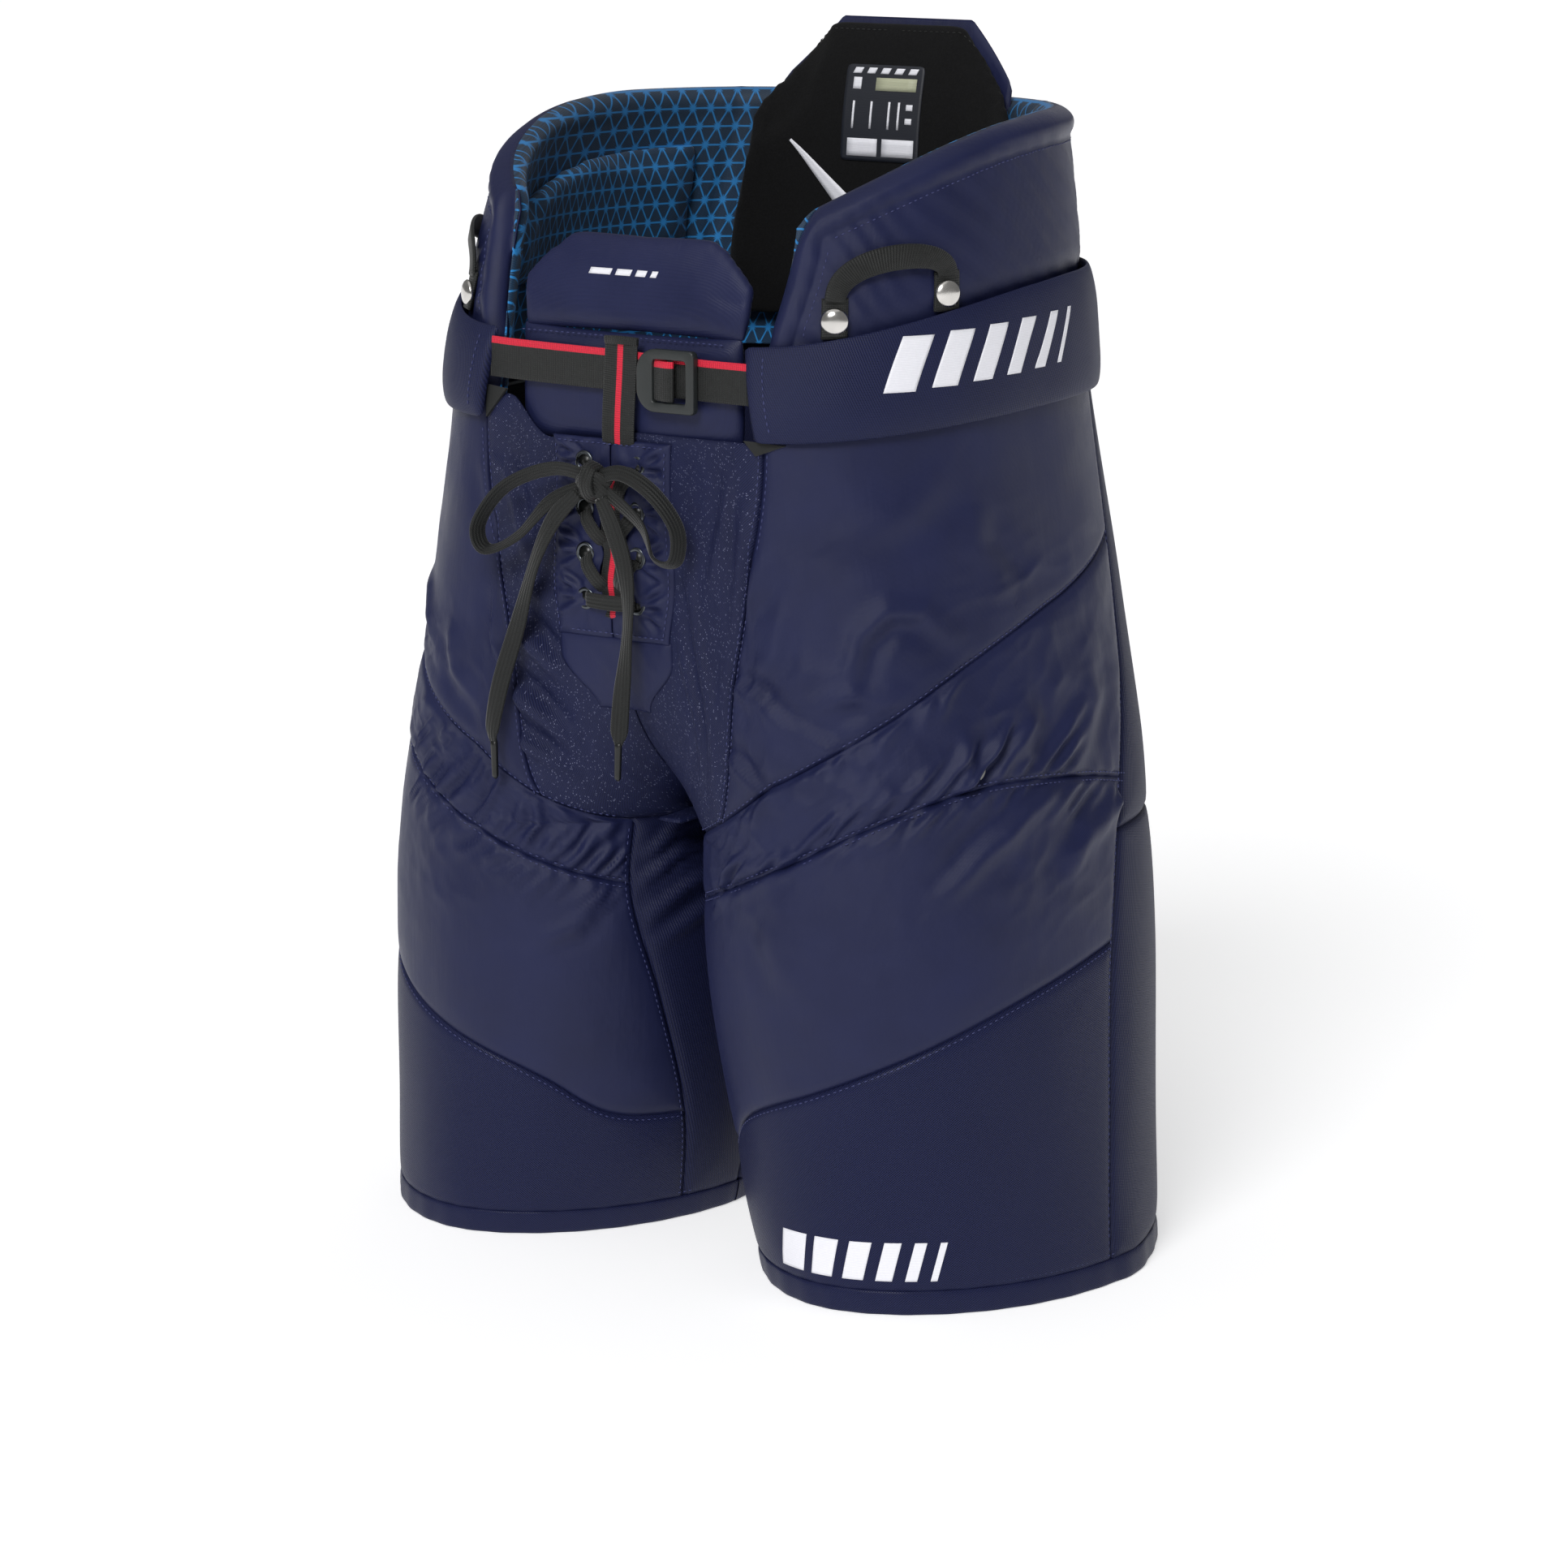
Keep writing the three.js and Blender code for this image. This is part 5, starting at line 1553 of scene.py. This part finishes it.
class PANTS_OT_webbing(Step):
    """Waist webbing, the strap down the middle, its keeper and the buckle"""
    bl_idname = "pants.webbing"
    bl_label = "Webbing and buckle"

    def execute(self, context):
        width = sizes().webbing_width
        reach = float(body(455, -82, 1.2)[0]) / MM + 2
        waist = [(-reach, -129.6, 455.5), (-62, -130.2, 455.0), (-30, -130.3, 454.4), (0, -130.2, 454.0),
                 (14, -130.6, 453.6), (24, -132.2, 453.2), (31, -132.0, 452.8)]
        behind_buckle = [(33, -129.8, 452.8), (44, -129.6, 452.6), (56, -130.2, 452.4), (reach, -129.6, 452.2)]
        down = [(4, -131.6, 468), (3.4, -132.0, 452), (2.0, -131.6, 436), (1.2, -131.2, 424), (0.5, -130.0, 417)]
        fly = [(-3.4 + 0.6 * math.sin(i), -129.4 - 1.1 * abs(math.sin(math.pi * (408 - z) / 22.5)), z)
               for i, z in enumerate(np.linspace(406, 332, 15))]
        for title, points, count, wide, material, nodes in (
                ("waist_strap", waist, 90, width, "Edge webbing", ["waist_webbing"]),
                ("buckle_strap", behind_buckle, 50, width, "Edge webbing", ["buckle_webbing"]),
                ("middle_strap_top", down, 60, 0.0195, "Middle webbing", ["centre_webbing"]),
                ("middle_strap_fly", fly, 80, 0.0125, "Middle webbing", [])):
            strap(title, spline_path(points, count)[0], TO_FRONT, wide, WEBBING_THICK, material,
                  "pelvis", nodes)
        keeper = spline_path([(-6.5, -131.2, 468.4), (4, -133.2, 469.0), (14, -131.2, 468.4)], 24)[0]
        strap("strap_keeper", keeper, TO_FRONT, 0.0042, 0.0022, "Webbing", "pelvis", round_by=0.6)

        def outline(angle, x0, x1, z0, z1, left_round, right_round):
            """A point of a rounded rectangle in a direction from its middle."""
            cx, cz = (x0 + x1) / 2, (z0 + z1) / 2
            dx, dz = math.cos(angle), math.sin(angle)
            radius = left_round if dx < 0 else right_round
            hx, hz = (x1 - x0) / 2, (z1 - z0) / 2
            scale = min(hx / max(abs(dx), 1e-9), hz / max(abs(dz), 1e-9))
            x, z = dx * scale, dz * scale
            ex, ez = abs(x) - (hx - radius), abs(z) - (hz - radius)
            if ex > 0 and ez > 0:
                far = math.hypot(ex, ez)
                x = math.copysign(hx - radius + ex * radius / far, x)
                z = math.copysign(hz - radius + ez * radius / far, z)
            return cx + x, cz + z

        bm = bmesh.new()
        for limits in ((15, 49, 435.8, 466.3, 11, 2.0), (24.5, 44.2, 440.6, 461.4, 1.6, 1.6)):
            for v in bmesh.ops.create_circle(bm, segments=96, radius=1)["verts"]:
                x, z = outline(math.atan2(v.co.y, v.co.x), *limits)
                v.co = (x * MM, row_y(-135.2), z * MM)
        bmesh.ops.bridge_loops(bm, edges=bm.edges)
        face_from(bm, from_behind)
        buckle = new_piece(bm, "buckle_body", "Buckle plastic", rides="buckle_frame")
        thicken(buckle, 0.0044)
        soften = buckle.modifiers.new("Edges", "BEVEL")
        soften.width, soften.segments, soften.limit_method, soften.angle_limit = 0.0009, 3, "ANGLE", 0.7
        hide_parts("buckle")
        bar = spline_path([(34.2, -133.4, 440), (34.2, -133.4, 462)], 12)[0]
        strap("buckle_bar", bar, TO_FRONT, 0.0030, 0.0026, "Buckle plastic", "buckle_frame",
              round_by=0.7)
        wrap = spline_path([(23, -132.0, 451), (27.5, -133.6, 451), (32, -134.8, 451), (35.2, -134.6, 451),
                            (36.4, -133.2, 451)], 30)[0]
        strap("buckle_wrap", wrap, TO_FRONT, 0.0195, WEBBING_THICK, "Edge webbing", "buckle_frame")
        return {"FINISHED"}


def fly_point(x, z, offset):
    """Points on the front near the middle, x and z in millimetres."""
    middle = section_at(np.asarray(z, float))[..., 1]
    a = -(180 - 90 * np.abs(x) / middle)
    point = body(z, a, offset)
    point[..., 0] = x * MM
    return point


FLY = -4.0
EYELET_ROWS = [408, 385.5, 363, 340.5]
EYELET_COLUMNS = {"right": -19.5, "left": 11.5}


class PANTS_OT_fly(Step):
    """Plackets, the patch below them, the tongue behind, eyelets and lacing"""
    bl_idname = "pants.fly"
    bl_label = "Fly"

    def execute(self, context):
        def gap_half(z):
            return (0.4 + 6.0 * ramp(z, 333, 346) * (1 - ramp(z, 390, 404))
                    - 1.1 * np.cos((z - 363) / 22.5 * 2 * np.pi) * ramp(z, 340, 352) * (1 - ramp(z, 384, 396)))

        for name, side in SIDES.items():
            def place(u, v):
                z = 321.5 + 98.5 * v
                inner = FLY + side * gap_half(z)
                outer = FLY + side * (36.0 - 2.5 * ramp(z, 350, 322) + 1.2 * np.sin(z / 17))
                x = inner + (outer - inner) * u
                edge = np.minimum(np.abs(x - outer), np.minimum(z - 321, 420.5 - z))
                roll = np.exp(-(np.abs(x - inner) / 2.2) ** 2)
                lift = 2.6 + 0.9 * (1 - np.exp(-edge / 7)) - 1.5 * np.exp(-(edge / 2.0) ** 2) - 0.9 * roll
                centre = EYELET_COLUMNS[name]
                for row in EYELET_ROWS:
                    far = np.hypot(x - centre, z - row)
                    around = np.arctan2(z - row, x - centre)
                    lift -= 0.9 * np.exp(-(far / 5.5) ** 2)
                    lift += 0.45 * np.exp(-((far - 9) / 5.0) ** 2) * np.sin(around * 5 + row)
                fold = crumple(x, z, 13, 41.0 + side, 1.6, 0.3 * side)
                lift += 2.2 * (fold - 0.4) * ramp(edge, 1, 7) * ramp(np.abs(x - inner), 1, 7)
                rays = []
                for row in EYELET_ROWS:
                    for rise in (-9, 2, 11):
                        rays.append(([((centre + side * 4) / ARC, row + rise * 0.3),
                                      ((centre + side * 16) / ARC, row + rise)], 1.9, 1.5 if rise else 1.1))
                lift += crease(x / ARC, z, rays) * ramp(edge, 1, 6)
                return fly_point(x, z, lift), np.stack([x * MM, z * MM], -1)

            bm = grid_of(34, 92, place)
            face_from(bm, from_behind)
            placket = new_piece(bm, f"placket_cloth_{name}", "Nylon", rides="pelvis")
            thicken(placket, 0.0014)
            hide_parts(f"placket_{name}")

        def lower(u, v):
            z = 285 + 37.5 * v
            half = 15 + 19 * ramp(z, 285, 312)
            x = -3 + (2 * u - 1) * half
            edge = np.minimum(half - np.abs(x + 3), np.minimum(z - 284.5, 323.5 - z))
            lift = 1.7 + 0.9 * (1 - np.exp(-edge / 8)) - 1.2 * np.exp(-(edge / 2.0) ** 2)
            lift += 1.2 * (crumple(x, z, 16, 61.0, 1.3, 0.5) - 0.4) * ramp(edge, 1, 9)
            return fly_point(x, z, lift), np.stack([x * MM, z * MM], -1)

        bm = grid_of(44, 28, lower)
        face_from(bm, from_behind)
        lower_patch = new_piece(bm, "fly_lower_patch", "Nylon", rides="pelvis")
        thicken(lower_patch, 0.0012)
        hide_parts("fly_patch")

        def behind(u, v):
            x, z = -30 + 52 * u, 324 + 92 * v
            y = -125.6 + 0.7 * np.sin(z / 9.0 + x / 14.0)
            points = np.stack([x * MM, (y + MIDDLE_Y) * MM, z * MM], -1)
            return points, np.stack([x * MM, z * MM], -1)

        bm = grid_of(26, 40, behind)
        face_from(bm, from_behind)
        tongue = new_piece(bm, "fly_tongue_cloth", "Nylon", rides="pelvis")
        thicken(tongue, 0.0012)
        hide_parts("fly_tongue")

        holes = []
        for name, x in EYELET_COLUMNS.items():
            for i, z in enumerate(EYELET_ROWS):
                front = float(fly_point(np.array([x]), np.array([float(z)]), 3.0)[0][1])
                bm = bmesh.new()
                section = bmesh.ops.create_circle(bm, segments=10, radius=0.00105)["verts"]
                for v in section:
                    v.co = (x * MM + 0.0045 + v.co.x, front + 0.7 * v.co.y, z * MM)
                bmesh.ops.spin(bm, geom=list(section) + list(bm.edges), cent=(x * MM, front, z * MM),
                               axis=(0, 1, 0), angle=math.tau, steps=28, use_merge=True)
                close_up(bm, 1e-6)
                ring = new_piece(bm, f"eyelet_ring_{name}_{i + 1}", "Eyelet metal", rides="pelvis")
                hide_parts(f"eyelet_{name}_{i + 1}")
                # A flat black disc fills each eyelet's hole as painted shade inside it.
                bm = bmesh.new()
                bmesh.ops.create_circle(bm, cap_ends=True, segments=20, radius=0.0038,
                                        matrix=Matrix.Translation((x * MM, front + 0.0001, z * MM))
                                        @ Matrix.Rotation(math.pi / 2, 4, "X"))
                holes.append(bm)
        bm = joined(holes)
        face_from(bm, from_behind)
        hole_shade = new_piece(bm, "eyelet_hole_shade", "Black plastic", rides="pelvis")
        thicken(hole_shade, 0.0004)

        middle = (EYELET_COLUMNS["right"] + EYELET_COLUMNS["left"]) / 2
        bar = [(middle + x, y, 340.5 + rise) for x, y, rise in
               ((-14.5, -130.4, 0), (-11.5, -133.6, 0.1), (0, -134.6, -0.2), (11.5, -133.6, -0.1), (14.5, -130.4, 0))]
        straps = [("lace_bar", bar, 0.0076)]
        for i, z in enumerate(EYELET_ROWS[:3]):
            for name, side, steps in (("right", 1, (0.7, 3.0, 7.3, 10.3, 12.3)),
                                      ("left", -1, (0.7, 3.0, 7.3, 10.1, 11.9))):
                points = [(EYELET_COLUMNS[name] + side * x, y, z - down)
                          for x, y, down in zip(steps, (-130.6, -133.8, -134.2, -131.6, -127.4), (1, 5, 10.5, 15, 18))]
                straps.append((f"lace_cross_{name}_{i + 1}", points, 0.0075))
        for title, points, width in straps:
            strap(title, spline_path(points, 30)[0], TO_FRONT, width, 0.0018, "Lace cloth", "pelvis",
                  ["lacing"],
                  round_by=0.5)
        lines = []
        for side in (-1, 1):
            z = np.linspace(325, 417, 60)
            lines.append(fly_point(FLY + side * (33.6 - 2.5 * ramp(z, 350, 322) + 1.2 * np.sin(z / 17)), z, 3.0))
        x = np.linspace(-36, 29, 60)
        lines.append(fly_point(x, np.full_like(x, 417.8), 2.9))
        lines.append(fly_point(x, np.full_like(x, 324.6), 2.9))
        sew("fly_stitches", lines)
        return {"FINISHED"}


class PANTS_OT_bow(Step):
    """The bow of the waist lace: two loops and the knot"""
    bl_idname = "pants.bow"
    bl_label = "Bow"

    def execute(self, context):
        for name, points in BOWS.items():
            line, _ = spline_path(shifted(points), 90)
            t = np.linspace(0, 1, len(line))
            tangent = np.gradient(line, axis=0)
            tangent /= np.linalg.norm(tangent, axis=1)[:, None]
            inward = np.cross(tangent, (0, 1, 0))
            roll = np.radians(8 + 62 * np.sin(np.pi * np.clip(t * 1.02, 0, 1)) ** 1.2 * (1 - 0.45 * ramp(t, 0.5, 0.95)))
            facing = -np.cos(roll)[:, None] * np.array([0, 1, 0]) + np.sin(roll)[:, None] * inward
            width = sizes().lace_width * (0.62 + 0.38 * np.sin(np.pi * np.clip(t, 0, 1)) ** 0.4)
            strap(f"bow_loop_{name}", line, facing, width, sizes().lace_thick, "Lace cloth", "pelvis",
                  ["lace_bow"], round_by=0.5, sections=20)
        knots = [[(-16, 0.5, 397), (-11, -3.0, 401), (-4, -3.4, 402), (2, 0.5, 398)],
                 [(-14, 1.0, 405), (-9, -2.6, 402), (-3, -2.4, 397), (1, 1.0, 393)],
                 [(-6, 3.0, 391.5), (-7.5, -3.6, 394), (-7.8, -6.0, 400), (-7, -4.0, 406.5), (-6.4, 2.5, 408.5)]]
        for i, points in enumerate(knots):
            strap(f"bow_knot_{i + 1}", spline_path(shifted(points), 36)[0], TO_FRONT, 0.0078, 0.0026, "Lace cloth",
                  "pelvis", ["lace_bow"], round_by=0.6, sections=20)
        return {"FINISHED"}


LOOP_FEET = (-57.0, -26.0)


def foot_height(angle):
    return float(belt_high(angle)) + 8.0


class PANTS_OT_loops(Step):
    """The suspender loops and their rivets"""
    bl_idname = "pants.loops"
    bl_label = "Suspender loops"

    def execute(self, context):
        first, last = LOOP_FEET
        for name, side in SIDES.items():
            def place(u, v):
                across, thick = squared(v, 0.4)
                across, thick = 6 * across, 1.1 * thick * open_ends(u)
                swing = np.pi * u
                base = foot_height(first) + (foot_height(last) - foot_height(first)) * u + 7.9
                level = base + (16 + across) * np.sin(swing) ** 0.8
                a = (first + last) / 2 - ((last - first) / 2 + across / 2.1) * np.cos(swing)
                offset = 2.7 + thick + 2.5 * np.sin(swing) + 0.9 * np.sin(swing * 2) * across / 6
                return body(level, a, offset, side), np.stack([across * MM, u * 0.072], -1)

            bm = close_up(grid_of(60, 18, place))
            loop = new_piece(bm, f"suspender_strap_{name}", "Webbing", rides=f"{name}_loop")
            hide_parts(f"suspender_loop_{name}")
            for word, angle in (("front", first), ("side", last)):
                foot = foot_height(angle)

                def foot_place(u, v):
                    across, thick = squared(v, 0.4)
                    across, thick = 6.4 * across, 1.2 * thick * open_ends(u)
                    z = foot - 8 + 19 * u
                    a = angle + across / ARC
                    return body(z, a, 1.8 + thick, side), np.stack([across * MM, z * MM], -1)

                bm = close_up(grid_of(20, 18, foot_place))
                new_piece(bm, f"loop_foot_{name}_{word}", "Webbing", rides="pelvis")
                centre = Vector(body(foot, angle, 3.0, side))
                outward = Vector(body(foot, angle, 6.0, side)) - centre
                outward.normalize()
                bm = bmesh.new()
                profile = [(0.0, 2.6), (2.6, 2.45), (4.8, 1.9), (6.2, 1.0), (6.9, 0.0), (6.6, -0.7), (5.6, -0.9)]
                verts = [bm.verts.new((r * MM, 0, h * MM)) for r, h in profile]
                edges = [bm.edges.new(pair) for pair in zip(verts, verts[1:])]
                bmesh.ops.spin(bm, geom=verts + edges, cent=(0, 0, 0), axis=(0, 0, 1), angle=math.tau, steps=32,
                               use_merge=True)
                bmesh.ops.holes_fill(bm, edges=bm.edges)
                close_up(bm, 1e-6)
                turn = outward.to_track_quat("Z", "Y").to_matrix().to_4x4()
                bmesh.ops.transform(bm, matrix=Matrix.Translation(centre) @ turn, verts=bm.verts)
                cap = new_piece(bm, f"rivet_cap_{name}_{word}", "Rivet metal", rides="pelvis")
                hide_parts(f"rivet_{name}_{word}")
        return {"FINISHED"}


class PANTS_OT_marks(Step):
    """The crotch gusset and the slanted bars printed over a hem"""
    bl_idname = "pants.marks"
    bl_label = "Gusset and hem bars"

    def execute(self, context):
        def gusset(u, v):
            y = -90 + 180 * u
            x = 7.5 * squared(v)[0]
            slim = rounded_end(np.minimum(u, 1 - u) * 180, 4)
            z = 224.4 + 1.3 * np.sin(2 * np.pi * v) * slim + 0.4 * np.sin(y / 11.0)
            points = np.stack([x * MM, (y + MIDDLE_Y) * MM, z * MM], -1)
            return points, np.stack([y * MM, x * MM], -1)

        bm = close_up(grid_of(70, 14, gusset))
        strip = new_piece(bm, "gusset_cloth", "Groin knit", rides="pelvis")
        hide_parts("crotch_gusset")

        core = leg_core(1)
        bars, start = [], -105.0
        for wide in (17, 14, 11, 8, 5.5, 3):
            def place_bar(u, v, start=start, wide=wide):
                z = 17.5 + 19.5 * v
                a = start + (wide * u + 6.0 * v) / ARC
                return body(z, a, 8, 1), np.stack([a * ARC * MM, z * MM], -1)
            bars.append(grid_of(12, 12, place_bar))
            start += (wide + 6.0) / ARC
        bm = joined(bars)
        lay_on(bm, bpy.data.objects["mesh_panel_left"], core=core, gap=0.00025)
        face_from(bm, core)
        print_piece = new_piece(bm, "hem_bars_left", "White print")
        thicken(print_piece, 0.0003)
        bend(print_piece, "left")
        return {"FINISHED"}


STEPS = [PANTS_OT_stage, PANTS_OT_lace_ends, PANTS_OT_bow, PANTS_OT_panels, PANTS_OT_hems, PANTS_OT_stitches,
         PANTS_OT_guards, PANTS_OT_wings, PANTS_OT_spine, PANTS_OT_belly, PANTS_OT_belt, PANTS_OT_webbing, PANTS_OT_fly,
         PANTS_OT_loops, PANTS_OT_marks]


class PANTS_PT_panel(Panel):
    """Building steps of the pants"""
    bl_label = "Hockey Pants"
    bl_idname = "PANTS_PT_panel"
    bl_space_type = "VIEW_3D"
    bl_region_type = "UI"
    bl_category = "Hockey Pants"

    def draw(self, context):
        for step in STEPS:
            self.layout.operator(step.bl_idname)


GROUPS = [PantsSizes, PantsColours]


def register():
    for cls in GROUPS + STEPS + [PANTS_PT_panel]:
        bpy.utils.register_class(cls)
    bpy.types.Scene.pants_sizes = PointerProperty(type=PantsSizes)
    bpy.types.Scene.pants_colours = PointerProperty(type=PantsColours)


def unregister():
    del bpy.types.Scene.pants_sizes
    del bpy.types.Scene.pants_colours
    for cls in reversed(GROUPS + STEPS + [PANTS_PT_panel]):
        bpy.utils.unregister_class(cls)


def main():
    register()
    for step in STEPS:
        group, name = step.bl_idname.split(".")
        getattr(getattr(bpy.ops, group), name)()


if __name__ == "__main__":
    main()
